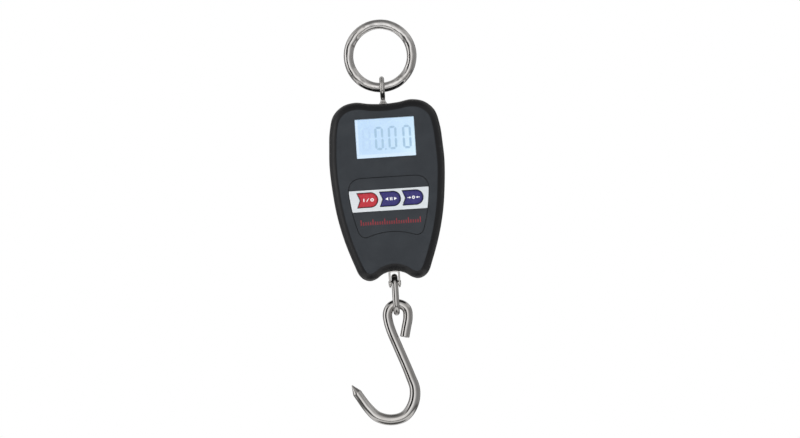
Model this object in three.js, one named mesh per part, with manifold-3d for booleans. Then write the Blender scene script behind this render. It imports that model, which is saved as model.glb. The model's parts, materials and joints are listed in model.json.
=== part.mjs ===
// A hanging crane scale: ring, eye bolt, two-part housing, load cell, swivelling clevis, link and S-hook.
// Millimetres, +Z up, front faces -Y, origin at the top of the ring's inside, where a crane hook bears.
import * as THREE from 'three';
import { mergeVertices } from 'three/addons/utils/BufferGeometryUtils.js';
import Module from 'manifold-3d';

const wasm = await Module();
wasm.setup();

// Clearance between neighbouring pieces, a length that reaches past any piece being cut, arc fineness
const gap = 0.3;
const far = 200;
const curveSegments = 8;

// Suspension ring and the eye that hangs on it
const ringBar = 6.8;
const ringInside = 37.2;
const ringRadius = (ringInside + ringBar) / 2;
const ringCentreZ = -ringInside / 2;
const ringBottomZ = ringCentreZ - ringRadius;
const eyeHoleRadius = 4.1;
const eyeBarRadial = 4.1;
const eyeBarAcross = 3.4;
const eyeCentreZ = ringBottomZ + ringBar / 2 + gap - eyeHoleRadius;
const eyeRadius = eyeHoleRadius + eyeBarRadial / 2;
const shankRadius = 3;
const collarFlare = 0.8;
const collarTop = 1;
const neckTaperTop = 3.2;
const nutAcrossFlats = 10;
const nutHeight = 5;

// Housing, measured from its own centre: X across, Z up, parting plane at Y = 0
const housingCentreZ = -112.1;
const frontDepth = 17;
const rearDepth = 14;
const wall = 2.2;
const frontWall = 2.7;
const edgeBand = 5.2;
const frontRound = 6.5;
const rearRound = 7;
const innerRound = 5;
const innerBand = 4.2;
const outlineSteps = 72;
const shankHoleRadius = 3.6;
const clevisPocketRadius = 6.7;
const clevisPocketTop = -55.6;
const housingTopZ = 59.9;

// Right-hand half of the housing's outline, from the shallow dip at the top to the notch at the bottom
const halfOutline = [
  [10, 60.5],
  [19.5, 61.9],
  [28.3, 59.9],
  [35.2, 53.6],
  [38.3, 43],
  [39.5, 30],
  [40, 18],
  [39, 1],
  [36.9, -16],
  [32.9, -33.5],
  [27.1, -50.8],
  [24.1, -58],
  [20.6, -61.3],
  [16.5, -62.4],
  [12.4, -61.2],
  [7.4, -58],
];
const outlineTop = [0, housingTopZ];
const outlineBottom = [0, -56.3];

// Display, from the front: window, glass, light guide, board
const windowWidth = 41.1;
const windowHeight = 27.1;
const windowZ = 36.3;
const windowFront = -16.8;
const windowLip = 1.6;
const windowPaneLip = 1;
const glassWidth = 44;
const glassHeight = 34;
const glassZ = 34.5;
const glassFront = -12.7;
const glassThick = 1.8;
const guideFront = -10.6;
const guideBack = -8.8;
const ledWidth = 2;
const zebraHeight = 2.3;
const zebraHalfWidth = 20;
const frameBorder = 2;
const frameTopBorder = 1.4;
const boardFront = -8.5;
const boardThick = 1.6;
const boardWidth = 56;
const boardTop = 50;
const boardBottom = -24;
const boardPosts = [
  [-25.5, 8],
  [25.5, 8],
  [-24, -20],
  [24, -20],
];
const boardPostRadius = 2.4;
const boardScrewRadius = 0.9;
const boardScrewHead = 2;
const boardScrewReach = 4;
const chipThick = 1.4;
const mainChipX = [-26, -16];
const mainChipZ = [34, 44];
const adcChipX = [17, 22];
const adcChipZ = [36, 42];
const capacitorAt = [8, 12];
const capacitorRadius = 2;
const capacitorLength = 4.2;

// Control inlay, strip and keys
const panelHalfWidth = 27.8;
const panelHeight = 40.9;
const panelMiddle = -11.5;
const panelFront = -frontDepth;
const panelBack = -15.9;
const stripPocket = 0.7;
const stripTop = 0.7;
const stripBottom = -14.3;
const stripThick = 0.5;
const stripProud = 0.1;
const keyHeight = 9.5;
const keyWidth = 13.8;
const keyNotch = 2.2;
const keyPitch = 15.7;
const keyMiddleX = 0.6;
const keyZ = -6.2;
const keyFront = -18.2;
const keyFlangeFront = -14;
const keyFlangeBack = -13.2;
const keyFlangeLip = 1;
const switchBody = 6;
const switchFront = -11.6;
const plungerFront = -12.2;
const plungerRadius = 1.7;

// Load cell: an S-shaped beam on the load line
const beamHalfWidth = 12;
const beamHalfDepth = 6;
const beamHalfHeight = 42;
const beamSlotTop = 27;
const beamSlotBottom = 24;
const beamSlotReach = 7;
const nutSlotTop = -19;
const nutSlotBottom = -30;
const gaugeHoleRadius = 8;
const gaugeHoleZ = 3;
const gaugeThick = 0.4;
const gaugeWidth = 6;
const gaugeLength = 5;
const eyeShankEnd = 30;
const stemEnd = -21.5;
const washerRadius = 6;
const washerThick = 1.6;
const cellScrewX = 8;
const cellScrewRadius = 1.4;
const cellScrewHead = 2.6;
const cellScrewEnd = 10.5;
const cellHeadSeat = -3.5;
const cellScrewZ = 36;
const padRadius = 3;

// Clevis, link and hook
const clevisTop = -55.9;
const clevisBase = 1.3;
const clevisHalfWidth = 3.95;
const cheek = 1.3;
const clevisDepth = 9.5;
const linkBarRadius = 2.3;
const linkInside = 7.4;
const linkSwingRoom = 7.7;
const pinRadius = 1.9;
const cheekEndRadius = 3.3;
const linkLength = 29.6;
const pinZ = housingCentreZ + clevisTop - clevisBase - linkSwingRoom;
const linkBend = linkInside / 2 + linkBarRadius;
const linkTopZ = pinZ + pinRadius + gap + 2 * linkBarRadius;
const linkUpperBendZ = linkTopZ - linkBend - linkBarRadius;
const linkLowerBendZ = linkTopZ - linkLength + linkBend + linkBarRadius;
const linkBottomBarZ = linkLowerBendZ - linkBend;
const hookBarRadius = 3.3;
const bowlBarRadius = 3.8;
const pointBarRadius = 3.2;
const hookEyeX = 0.7;
const hookEyeZ = linkBottomBarZ - 1.1;
const pointLength = 7;
const pointTipRadius = 0.25;

// Battery bays in the back of the housing, one cell each side of the load cell
const cellRadius = 5.25;
const cellLength = 44.5;
const bayX = 21.2;
const bayWidth = 12;
const bayTop = 31.5;
const bayBottom = -21;
const bayFloor = -1.6;
const bayWall = 1.2;
const cellY = 4.2;
const contactThick = 0.6;
const springLength = 5.5;
const recessFloor = 11.5;
const coverTop = 33;
const coverBottom = -22;
const coverHalfWidth = 28.5;
const coverGap = 0.4;
const coverPivotRadius = 1.1;
const recessWall = 1.5;
const backingBack = 13;
const scoopDepth = 1.2;
const nubRadius = 1.9;
const nubLength = 1;
const springRadius = 3.2;
const contactHalf = 4.5;
const leadRadius = 0.6;
const slotHalf = 1.1;
const slotFront = -0.1;
const scoopRadius = 7;

// Case screws, from the back, at (x, z)
const caseScrews = [
  [-32, 38],
  [32, 38],
  [-17, -46],
  [17, -46],
];
const caseScrewRadius = 1.3;
const caseHeadRadius = 2.6;
const caseHeadSeat = 6;
const caseScrewEnd = -8;
const caseHeadHeight = 2;
const boardHeadHeight = 1.2;
const driverSlotReach = 0.7;
const driverSlotDepth = 0.7;
const driverSlotHalf = 0.4;
const bossRadius = 4.4;
const bossInset = 1.5;
const frontBossRadius = 3;

function finish(colour, roughness, metalness) {
  return new THREE.MeshStandardMaterial({ color: colour, roughness, metalness });
}

const steel = finish(0xc8c8c6, 0.18, 1);
const charcoal = finish(0x32363c, 0.55, 0);
const darkPlastic = finish(0x1d1e20, 0.5, 0);
const beamMetal = finish(0x9a9c9e, 0.35, 1);
const silver = finish(0xdce1e6, 0.4, 0.3);
const redPlastic = finish(0xbe2d3c, 0.35, 0);
const bluePlastic = finish(0x322882, 0.35, 0);
const clearPlastic = finish(0xdfeef6, 0.08, 0);
const displayBlue = finish(0xbed7f5, 0.2, 0);
const boardGreen = finish(0x2f6b46, 0.45, 0);
const copper = finish(0xb87545, 0.35, 1);
const cellSleeve = finish(0x59626b, 0.35, 0.2);
const screwMetal = finish(0x8c8f92, 0.35, 1);

// Booleans: a closed three.js geometry to a solid and back
function toSolid(geometry) {
  const bare = geometry.clone();
  bare.deleteAttribute('normal');
  bare.deleteAttribute('uv');
  const merged = mergeVertices(bare);
  return new wasm.Manifold(new wasm.Mesh({
    numProp: 3,
    vertProperties: new Float32Array(merged.attributes.position.array),
    triVerts: new Uint32Array(merged.index.array),
  }));
}

function toGeometry(solid) {
  const mesh = solid.getMesh();
  const geometry = new THREE.BufferGeometry();
  geometry.setAttribute('position', new THREE.BufferAttribute(mesh.vertProperties, 3));
  geometry.setIndex(new THREE.BufferAttribute(mesh.triVerts, 1));
  geometry.computeVertexNormals();
  return geometry;
}

function join(...solids) {
  return solids.reduce((whole, next) => whole.add(next));
}

function cut(solid, ...tools) {
  return tools.reduce((left, tool) => left.subtract(tool), solid);
}

// Simple solids, stated by their extents
function block(x0, x1, y0, y1, z0, z1) {
  const geometry = new THREE.BoxGeometry(x1 - x0, y1 - y0, z1 - z0);
  geometry.translate((x0 + x1) / 2, (y0 + y1) / 2, (z0 + z1) / 2);
  return toSolid(geometry);
}

function rod(radius, from, to, sides, axis, across, up) {
  const geometry = new THREE.CylinderGeometry(radius, radius, to - from, sides);
  geometry.translate(0, (from + to) / 2, 0);
  if (axis === 'x') {
    geometry.rotateZ(-Math.PI / 2);
    geometry.translate(0, across, up);
  }
  if (axis === 'y') {
    geometry.translate(across, 0, up);
  }
  if (axis === 'z') {
    geometry.rotateX(Math.PI / 2);
    geometry.translate(across, up, 0);
  }
  return toSolid(geometry);
}

// A flat outline in X and Z, thickened from one Y to another
function plate(outline, y0, y1) {
  const geometry = new THREE.ExtrudeGeometry(outline, {
    depth: y1 - y0,
    bevelEnabled: false,
    curveSegments,
  });
  geometry.rotateX(Math.PI / 2);
  geometry.translate(0, y1, 0);
  return toSolid(geometry);
}

function roundedRectangle(x0, x1, z0, z1, radius) {
  const shape = new THREE.Shape();
  shape.moveTo(x0 + radius, z0);
  shape.lineTo(x1 - radius, z0);
  shape.absarc(x1 - radius, z0 + radius, radius, -Math.PI / 2, 0);
  shape.lineTo(x1, z1 - radius);
  shape.absarc(x1 - radius, z1 - radius, radius, 0, Math.PI / 2);
  shape.lineTo(x0 + radius, z1);
  shape.absarc(x0 + radius, z1 - radius, radius, Math.PI / 2, Math.PI);
  shape.lineTo(x0, z0 + radius);
  shape.absarc(x0 + radius, z0 + radius, radius, Math.PI, 1.5 * Math.PI);
  return shape;
}

// A round bar along a curve, its radius given for each share of the curve's length
function barAlong(curve, radiusAt, steps, sides, closed) {
  const frames = curve.computeFrenetFrames(steps, closed);
  const positions = [];
  const indices = [];
  const rings = closed ? steps : steps + 1;
  for (let ring = 0; ring < rings; ring += 1) {
    const centre = curve.getPointAt(ring / steps);
    const radius = radiusAt(ring / steps);
    for (let side = 0; side < sides; side += 1) {
      const angle = (side / sides) * 2 * Math.PI;
      const point = centre.clone();
      point.addScaledVector(frames.normals[ring], radius * Math.cos(angle));
      point.addScaledVector(frames.binormals[ring], radius * Math.sin(angle));
      positions.push(point.x, point.y, point.z);
    }
  }
  for (let ring = 0; ring < (closed ? rings : rings - 1); ring += 1) {
    for (let side = 0; side < sides; side += 1) {
      const here = ring * sides + side;
      const beside = ring * sides + ((side + 1) % sides);
      const next = ((ring + 1) % rings) * sides + side;
      const nextBeside = ((ring + 1) % rings) * sides + ((side + 1) % sides);
      indices.push(here, beside, next, beside, nextBeside, next);
    }
  }
  if (!closed) {
    for (let side = 1; side < sides - 1; side += 1) {
      const last = (rings - 1) * sides;
      indices.push(0, side + 1, side);
      indices.push(last, last + side, last + side + 1);
    }
  }
  const geometry = new THREE.BufferGeometry();
  geometry.setAttribute('position', new THREE.Float32BufferAttribute(positions, 3));
  geometry.setIndex(indices);
  geometry.computeVertexNormals();
  return geometry;
}

function smoothPath(points) {
  const corners = points.map((point) => new THREE.Vector3(...point));
  return new THREE.CatmullRomCurve3(corners, false, 'centripetal');
}

// Named mesh, added to its group
function add(group, name, shape, material) {
  const geometry = shape.isBufferGeometry ? shape : toGeometry(shape);
  const mesh = new THREE.Mesh(geometry, material);
  mesh.name = name;
  group.add(mesh);
  return mesh;
}

const scale = new THREE.Group();
const housing = new THREE.Group();
housing.position.z = housingCentreZ;
scale.add(housing);

// Ring, in the X-Z plane
function ringShape() {
  const geometry = new THREE.TorusGeometry(ringRadius, ringBar / 2, 12, 48);
  geometry.rotateX(Math.PI / 2);
  geometry.translate(0, 0, ringCentreZ);
  return geometry;
}

add(scale, 'suspension_ring', ringShape(), steel);

// Eye bolt: a flattened eye in the Y-Z plane, a flared neck and a round shank down into the load cell
function eyeBoltShape() {
  const eye = new THREE.TorusGeometry(eyeRadius, eyeBarRadial / 2, 10, 24);
  eye.rotateY(Math.PI / 2);
  eye.scale(eyeBarAcross / eyeBarRadial, 1, 1);
  eye.translate(0, 0, eyeCentreZ);
  const neckTop = eyeCentreZ - eyeRadius;
  const neckEnd = housingCentreZ + housingTopZ;
  const profile = [
    new THREE.Vector2(0, housingCentreZ + eyeShankEnd),
    new THREE.Vector2(shankRadius, housingCentreZ + eyeShankEnd),
    new THREE.Vector2(shankRadius, neckEnd),
    new THREE.Vector2(shankRadius * collarFlare, neckEnd + collarTop),
    new THREE.Vector2(eyeBarAcross / 2, neckEnd + neckTaperTop),
    new THREE.Vector2(eyeBarAcross / 2, neckTop),
    new THREE.Vector2(0, neckTop),
  ];
  const neck = new THREE.LatheGeometry(profile, 20);
  neck.rotateX(Math.PI / 2);
  return join(toSolid(eye), toSolid(neck));
}

add(scale, 'eye_bolt', eyeBoltShape(), steel);

// Hexagon nut round a shank of the standard radius
function nutShape(bottom) {
  const hexagon = rod(nutAcrossFlats / Math.sqrt(3), bottom, bottom + nutHeight, 6, 'z', 0, 0);
  return cut(hexagon, rod(shankRadius + gap, bottom - 1, bottom + nutHeight + 1, 20, 'z', 0, 0));
}

add(housing, 'eye_lock_nut', nutShape(beamHalfHeight + gap), screwMetal);

// Housing outline and the block that both shells are cut from
function outlineShape() {
  const right = halfOutline.map(([x, z]) => new THREE.Vector3(x, z, 0));
  const left = halfOutline.map(([x, z]) => new THREE.Vector3(-x, z, 0)).reverse();
  const top = new THREE.Vector3(...outlineTop, 0);
  const bottom = new THREE.Vector3(...outlineBottom, 0);
  const corners = [top, ...right, bottom, ...left];
  const curve = new THREE.CatmullRomCurve3(corners, true, 'centripetal');
  const points = curve.getSpacedPoints(outlineSteps).slice(0, -1);
  return new THREE.Shape(points.reverse().map((point) => new THREE.Vector2(point.x, point.y)));
}

// Housing-shaped block on one side of the parting plane, its far face rounded; side is -1 front, 1 back
function halfBlock(side, depth, inset, band, round) {
  const geometry = new THREE.ExtrudeGeometry(outlineShape(), {
    depth: depth - round,
    bevelThickness: round,
    bevelSize: band,
    bevelOffset: -band - inset,
    bevelSegments: 3,
    steps: 1,
  });
  geometry.rotateX(Math.PI / 2);
  if (side > 0) {
    geometry.rotateZ(Math.PI);
  }
  const otherSide = side > 0 ? [-far, 0] : [0, far];
  return cut(toSolid(geometry), block(-far, far, ...otherSide, -far, far));
}

function shellWalls(side, depth, faceWall, round) {
  const outer = halfBlock(side, depth, 0, edgeBand, round);
  const inner = halfBlock(side, depth - faceWall, wall, innerBand, innerRound);
  return cut(outer, inner);
}

// Room for the eye bolt's shank, the clevis's stem and the clevis itself as it turns
function loadLineHoles() {
  return [
    rod(shankHoleRadius, 40, far, 20, 'z', 0, 0),
    rod(shankHoleRadius, -far, -40, 20, 'z', 0, 0),
    rod(clevisPocketRadius, -far, clevisPocketTop, 28, 'z', 0, 0),
  ];
}

// Control inlay outline: straight top, large top corners, sides drawn in downwards, arched bottom edge
function panelOutline(grow) {
  const x = (across) => across * (1 + grow / panelHalfWidth);
  const z = (up) => panelMiddle + (up - panelMiddle) * (1 + (2 * grow) / panelHeight);
  const shape = new THREE.Shape();
  shape.moveTo(x(-18.8), z(8.9));
  shape.lineTo(x(18.8), z(8.9));
  shape.quadraticCurveTo(x(27.4), z(8.6), x(27.8), z(0));
  shape.quadraticCurveTo(x(26.8), z(-14), x(22.9), z(-27));
  shape.quadraticCurveTo(x(21.6), z(-32.4), x(17.2), z(-32));
  shape.quadraticCurveTo(x(0), z(-25.4), x(-17.2), z(-32));
  shape.quadraticCurveTo(x(-21.6), z(-32.4), x(-22.9), z(-27));
  shape.quadraticCurveTo(x(-26.8), z(-14), x(-27.8), z(0));
  shape.quadraticCurveTo(x(-27.4), z(8.6), x(-18.8), z(8.9));
  return shape;
}

// Arrow-shaped key outline: V notch at the left, half-round right end
function keyOutline(centreX, grow) {
  const half = keyHeight / 2 + grow;
  const left = centreX - keyWidth / 2 - grow;
  const arcX = centreX + keyWidth / 2 - keyHeight / 2;
  const shape = new THREE.Shape();
  shape.moveTo(left, keyZ - half);
  shape.lineTo(arcX, keyZ - half);
  shape.absarc(arcX, keyZ, half, -Math.PI / 2, Math.PI / 2);
  shape.lineTo(left, keyZ + half);
  shape.lineTo(left + keyNotch, keyZ);
  return shape;
}

const keyNames = ['on_off', 'mode', 'tare'];
const keyColours = [redPlastic, bluePlastic, bluePlastic];
const keyCentres = keyNames.map((name, index) => keyMiddleX + (index - 1) * keyPitch);

function keyHoles() {
  return keyCentres.map((centreX) => plate(keyOutline(centreX, gap), -far, 0));
}

function frontShellShape() {
  const innerFace = -frontDepth + frontWall;
  const bosses = caseScrews.map(([x, z]) => rod(frontBossRadius, innerFace - 1, -gap, 16, 'y', x, z));
  const postBack = boardFront - gap;
  const posts = boardPosts.map(([x, z]) => rod(boardPostRadius, innerFace - 1, postBack, 12, 'y', x, z));
  const bossHoles = caseScrews.map(([x, z]) => rod(caseScrewRadius + gap, innerFace + 2, 1, 12, 'y', x, z));
  const pilot = boardScrewRadius + gap;
  const postHoles = boardPosts.map(([x, z]) => rod(pilot, innerFace + 0.6, 1, 10, 'y', x, z));
  const windowHole = block(
    -windowWidth / 2, windowWidth / 2, -far, 0, windowZ - windowHeight / 2, windowZ + windowHeight / 2,
  );
  return cut(
    join(shellWalls(-1, frontDepth, frontWall, frontRound), ...bosses, ...posts),
    ...bossHoles,
    ...postHoles,
    windowHole,
    plate(panelOutline(gap), -far, panelBack + gap),
    ...keyHoles(),
    ...loadLineHoles(),
    block(-far, far, -gap / 2, far, -far, far),
  );
}

add(housing, 'front_shell', frontShellShape(), charcoal);

// Rear shell: back wall with a recess for the cover, a bay each side of the load cell, screw bosses
function bayBlock(side, grow, floor, back) {
  const x = side * bayX;
  const half = bayWidth / 2 + grow;
  return block(x - half, x + half, floor, back, bayBottom - grow, bayTop + grow);
}

function rearShellShape() {
  const sides = [-1, 1];
  const backing = block(
    -coverHalfWidth - recessWall, coverHalfWidth + recessWall,
    recessFloor - bayWall, backingBack,
    coverBottom - recessWall, coverTop + recessWall,
  );
  const bays = sides.map((side) => bayBlock(side, bayWall, bayFloor - bayWall, recessFloor));
  const hollows = sides.map((side) => bayBlock(side, 0, bayFloor, far));
  const slots = sides.map((side) => block(
    side * bayX - slotHalf, side * bayX + slotHalf,
    slotFront, slotFront + 2 * slotHalf,
    bayBottom - 3, bayTop + 3,
  ));
  const bossBack = rearDepth - bossInset;
  const bosses = caseScrews.map(([x, z]) => rod(bossRadius, gap, bossBack, 20, 'y', x, z));
  const shanks = caseScrews.map(([x, z]) => rod(caseScrewRadius + gap, -1, rearDepth, 12, 'y', x, z));
  const heads = caseScrews.map(([x, z]) => rod(caseHeadRadius + gap, caseHeadSeat, far, 16, 'y', x, z));
  const padFront = beamHalfDepth + gap;
  const pads = sides.map((side) => rod(
    padRadius, padFront, bossBack, 14, 'y', side * cellScrewX, cellScrewZ,
  ));
  const padHoles = sides.map((side) => rod(
    cellScrewRadius + gap, 0, cellScrewEnd + gap, 10, 'y', side * cellScrewX, cellScrewZ,
  ));
  return cut(
    join(shellWalls(1, rearDepth, wall, rearRound), backing, ...bays, ...bosses, ...pads),
    block(-coverHalfWidth, coverHalfWidth, recessFloor, far, coverBottom, coverTop),
    ...hollows,
    ...slots,
    ...shanks,
    ...heads,
    ...padHoles,
    rod(scoopRadius, rearDepth - scoopDepth, far, 24, 'y', 0, coverBottom),
    ...loadLineHoles(),
    block(-far, far, -far, gap / 2, -far, far),
  );
}

add(housing, 'rear_shell', rearShellShape(), charcoal);

// Battery cover: flat plate whose upper edge is rounded about its pivot
function coverShape() {
  const half = coverHalfWidth - coverGap;
  const pivotZ = coverTop - gap - coverPivotRadius;
  const slab = block(
    -half, half, rearDepth - 2 * coverPivotRadius, rearDepth, coverBottom + coverGap, pivotZ,
  );
  return join(slab, rod(coverPivotRadius, -half, half, 16, 'x', rearDepth - coverPivotRadius, pivotZ));
}

add(housing, 'battery_cover', coverShape(), charcoal);

// Case screws, heads towards the back
function screwShape(shank, head, tip, seat, headHeight) {
  const top = seat + headHeight;
  const reach = head * driverSlotReach;
  const slot = block(-reach, reach, top - driverSlotDepth, top + 1, -driverSlotHalf, driverSlotHalf);
  const body = rod(shank, tip, seat + 0.5, 10, 'y', 0, 0);
  return cut(join(body, rod(head, seat, top, 16, 'y', 0, 0)), slot);
}

caseScrews.forEach(([x, z], index) => {
  const shape = screwShape(caseScrewRadius, caseHeadRadius, caseScrewEnd, caseHeadSeat + gap, caseHeadHeight);
  add(housing, `case_screw_${index + 1}`, shape, screwMetal).position.set(x, 0, z);
});

// Display window: clear plate with a wider lip behind the housing's wall
function windowShape() {
  const halfWidth = windowWidth / 2;
  const halfHeight = windowHeight / 2;
  const lipFront = -frontDepth + frontWall + gap;
  const pane = block(
    gap - halfWidth, halfWidth - gap, windowFront, lipFront + 0.5,
    windowZ + gap - halfHeight, windowZ + halfHeight - gap,
  );
  const lip = block(
    -halfWidth - windowLip, halfWidth + windowLip, lipFront, lipFront + windowPaneLip,
    windowZ - halfHeight - windowLip, windowZ + halfHeight + windowLip,
  );
  return join(pane, lip);
}

add(housing, 'display_window', windowShape(), clearPlastic);

const glassTop = glassZ + glassHeight / 2;
const glassBottom = glassZ - glassHeight / 2;
const glassHalf = glassWidth / 2;
add(
  housing, 'lcd_panel',
  block(-glassHalf, glassHalf, glassFront, glassFront + glassThick, glassBottom, glassTop), displayBlue,
);

// Light guide behind the glass, its lamp at the left, the contact strip on the ledge below it
const guideLeft = -glassHalf + ledWidth + gap;
const guideBottom = glassBottom + zebraHeight + 2 * gap;
const zebraBottom = glassBottom + gap;
add(
  housing, 'backlight_guide',
  block(guideLeft, glassHalf, guideFront, guideBack, guideBottom, glassTop), clearPlastic,
);
add(
  housing, 'backlight_led',
  block(-glassHalf, -glassHalf + ledWidth, guideFront, guideBack, glassZ - ledWidth, glassZ + ledWidth),
  silver,
);
add(
  housing, 'zebra_strip',
  block(-zebraHalfWidth, zebraHalfWidth, guideFront, guideBack, zebraBottom, zebraBottom + zebraHeight),
  darkPlastic,
);

function lcdFrameShape() {
  const outer = roundedRectangle(
    -glassHalf - frameBorder, glassHalf + frameBorder,
    glassBottom - frameBorder, glassTop + frameTopBorder, 1,
  );
  const opening = block(
    -glassHalf - gap, glassHalf + gap, -far, 0, glassBottom - gap, glassTop + gap,
  );
  return cut(plate(outer, glassFront, guideBack), opening);
}

add(housing, 'lcd_frame', lcdFrameShape(), darkPlastic);

// Board with its chips, screws and switches
const boardBack = boardFront + boardThick;
const boardHalf = boardWidth / 2;

function boardShape() {
  const outline = roundedRectangle(-boardHalf, boardHalf, boardBottom, boardTop, 3);
  const holes = boardPosts.map(([x, z]) => rod(boardScrewRadius + gap, -far, far, 12, 'y', x, z));
  return cut(plate(outline, boardFront, boardBack), ...holes);
}

add(housing, 'circuit_board', boardShape(), boardGreen);
const chipFront = boardBack + gap;
const chipBack = chipFront + chipThick;
const capacitorBack = boardFront - gap;
add(housing, 'main_chip', block(...mainChipX, chipFront, chipBack, ...mainChipZ), darkPlastic);
add(housing, 'adc_chip', block(...adcChipX, chipFront, chipBack, ...adcChipZ), darkPlastic);
add(
  housing, 'smoothing_capacitor',
  rod(capacitorRadius, capacitorBack - capacitorLength, capacitorBack, 16, 'y', ...capacitorAt), darkPlastic,
);
boardPosts.forEach(([x, z], index) => {
  const tip = boardFront - boardScrewReach;
  const shape = screwShape(boardScrewRadius, boardScrewHead, tip, boardBack + gap, boardHeadHeight);
  add(housing, `board_screw_${index + 1}`, shape, screwMetal).position.set(x, 0, z);
});

// Control inlay and strip, both open round the keys
function panelShape() {
  const pocket = block(-far, far, -far, panelFront + stripPocket, stripBottom - gap, stripTop + gap);
  return cut(plate(panelOutline(0), panelFront, panelBack), pocket, ...keyHoles());
}

function stripShape() {
  const front = panelFront - stripProud;
  const band = block(-far, far, front, front + stripThick, stripBottom, stripTop);
  return cut(plate(panelOutline(0), -far, 0).intersect(band), ...keyHoles());
}

add(housing, 'control_panel', panelShape(), charcoal);
add(housing, 'silver_strip', stripShape(), silver);

// Keys: arrow-shaped caps with a retaining flange behind the wall
function keyShape() {
  const cap = plate(keyOutline(0, 0), keyFront, keyFlangeFront);
  const flange = plate(keyOutline(0, keyFlangeLip), keyFlangeFront, keyFlangeBack);
  return join(cap, flange);
}

function switchShape() {
  const half = switchBody / 2;
  const body = block(-half, half, switchFront, boardFront - gap, keyZ - half, keyZ + half);
  return join(body, rod(plungerRadius, plungerFront, switchFront + 1, 14, 'y', 0, keyZ));
}

keyNames.forEach((name, index) => {
  add(housing, `${name}_button`, keyShape(), keyColours[index]).position.x = keyCentres[index];
  add(housing, `${name}_switch`, switchShape(), darkPlastic).position.x = keyCentres[index];
});

// Load cell: slots from opposite sides leave an S, with a gauge hole through its middle
function loadCellShape() {
  const depth = [-beamHalfDepth, beamHalfDepth];
  const beam = block(-beamHalfWidth, beamHalfWidth, ...depth, -beamHalfHeight, beamHalfHeight);
  const screwHoles = [-1, 1].map((side) => rod(
    cellScrewRadius + gap, -far, far, 14, 'y', side * cellScrewX, cellScrewZ,
  ));
  const headHoles = [-1, 1].map((side) => rod(
    cellScrewHead + gap, -far, cellHeadSeat, 16, 'y', side * cellScrewX, cellScrewZ,
  ));
  return cut(
    beam,
    block(-beamSlotReach, far, -far, far, beamSlotBottom, beamSlotTop),
    block(-far, beamSlotReach, -far, far, nutSlotBottom, nutSlotTop),
    rod(gaugeHoleRadius, -far, far, 28, 'y', 0, gaugeHoleZ),
    rod(shankRadius + gap, eyeShankEnd - gap, far, 20, 'z', 0, 0),
    rod(shankRadius + gap, -far, nutSlotTop - 1, 20, 'z', 0, 0),
    ...screwHoles,
    ...headHoles,
  );
}

add(housing, 'load_cell', loadCellShape(), beamMetal);
[-1, 1].forEach((side, index) => {
  const seat = gap - cellHeadSeat;
  const shape = screwShape(cellScrewRadius, cellScrewHead, -cellScrewEnd, seat, caseHeadHeight);
  const geometry = toGeometry(shape);
  geometry.rotateZ(Math.PI);
  const screw = add(housing, `load_cell_screw_${index + 1}`, geometry, screwMetal);
  screw.position.set(side * cellScrewX, 0, cellScrewZ);
});
[-1, 1].forEach((side) => {
  const x = side * (gaugeHoleRadius - 1);
  const gauge = block(
    x - gaugeThick / 2, x + gaugeThick / 2, -gaugeWidth / 2, gaugeWidth / 2,
    gaugeHoleZ - gaugeLength / 2, gaugeHoleZ + gaugeLength / 2,
  );
  add(housing, side < 0 ? 'strain_gauge_left' : 'strain_gauge_right', gauge, copper);
});

function leadShape(points) {
  return barAlong(smoothPath(points), () => leadRadius, 3 * points.length, 6, false);
}

// Leads: gauges to board, cells to board, and the bridge between the two bays, round the back of the beam
const leadTop = bayTop + 0.1;
const leadBottom = bayBottom - 0.1;
const leadEnd = boardBack + gap;
const leadPaths = {
  load_cell_lead: [[0, 1, 3], [0, -1, 6.5], [0, -3.5, 7], [0, leadEnd, 6]],
  battery_lead_positive: [
    [-bayX, 1, leadTop], [-bayX, 1, 34], [-bayX, -1.5, 37], [-16, -3, 46.5], [-16, leadEnd, 47],
  ],
  battery_lead_negative: [
    [bayX, 1, leadTop], [bayX, 1, 34], [bayX, -1.5, 38], [18, -3, 46.5], [18, leadEnd, 47],
  ],
  battery_bridge_lead: [
    [-bayX, 1, leadBottom], [-bayX, 1.5, -24.5], [-17, 7.6, -28], [-8, 8.6, -29],
    [8, 8.6, -29], [17, 7.6, -28], [bayX, 1.5, -24.5], [bayX, 1, leadBottom],
  ],
};
Object.entries(leadPaths).forEach(([name, points]) => {
  add(housing, name, leadShape(points), darkPlastic);
});

// Cells stand in opposite directions; a flat contact meets each nub and a spring meets each flat end
function cellShape() {
  const shoulder = cellLength - nubLength;
  const body = rod(cellRadius, 0, shoulder, 24, 'z', 0, 0);
  return join(body, rod(nubRadius, shoulder - 0.5, cellLength, 14, 'z', 0, 0));
}

function springShape() {
  return rod(springRadius, 0, springLength, 16, 'z', 0, 0);
}

function contactShape() {
  return block(-contactHalf, contactHalf, -contactHalf, contactHalf, 0, contactThick);
}

function placeCell(side, name) {
  const bay = new THREE.Group();
  bay.position.set(side * bayX, cellY, (bayTop + bayBottom) / 2);
  if (side > 0) {
    bay.rotation.y = Math.PI;
  }
  housing.add(bay);
  const end = (bayTop - bayBottom) / 2 - gap;
  add(bay, `contact_plate_${name}`, contactShape(), copper).position.z = end - contactThick;
  add(bay, `battery_${name}`, cellShape(), cellSleeve).position.z = end - contactThick - gap - cellLength;
  add(bay, `contact_spring_${name}`, springShape(), screwMetal).position.z = -end;
}

placeCell(-1, 'left');
placeCell(1, 'right');

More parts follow.
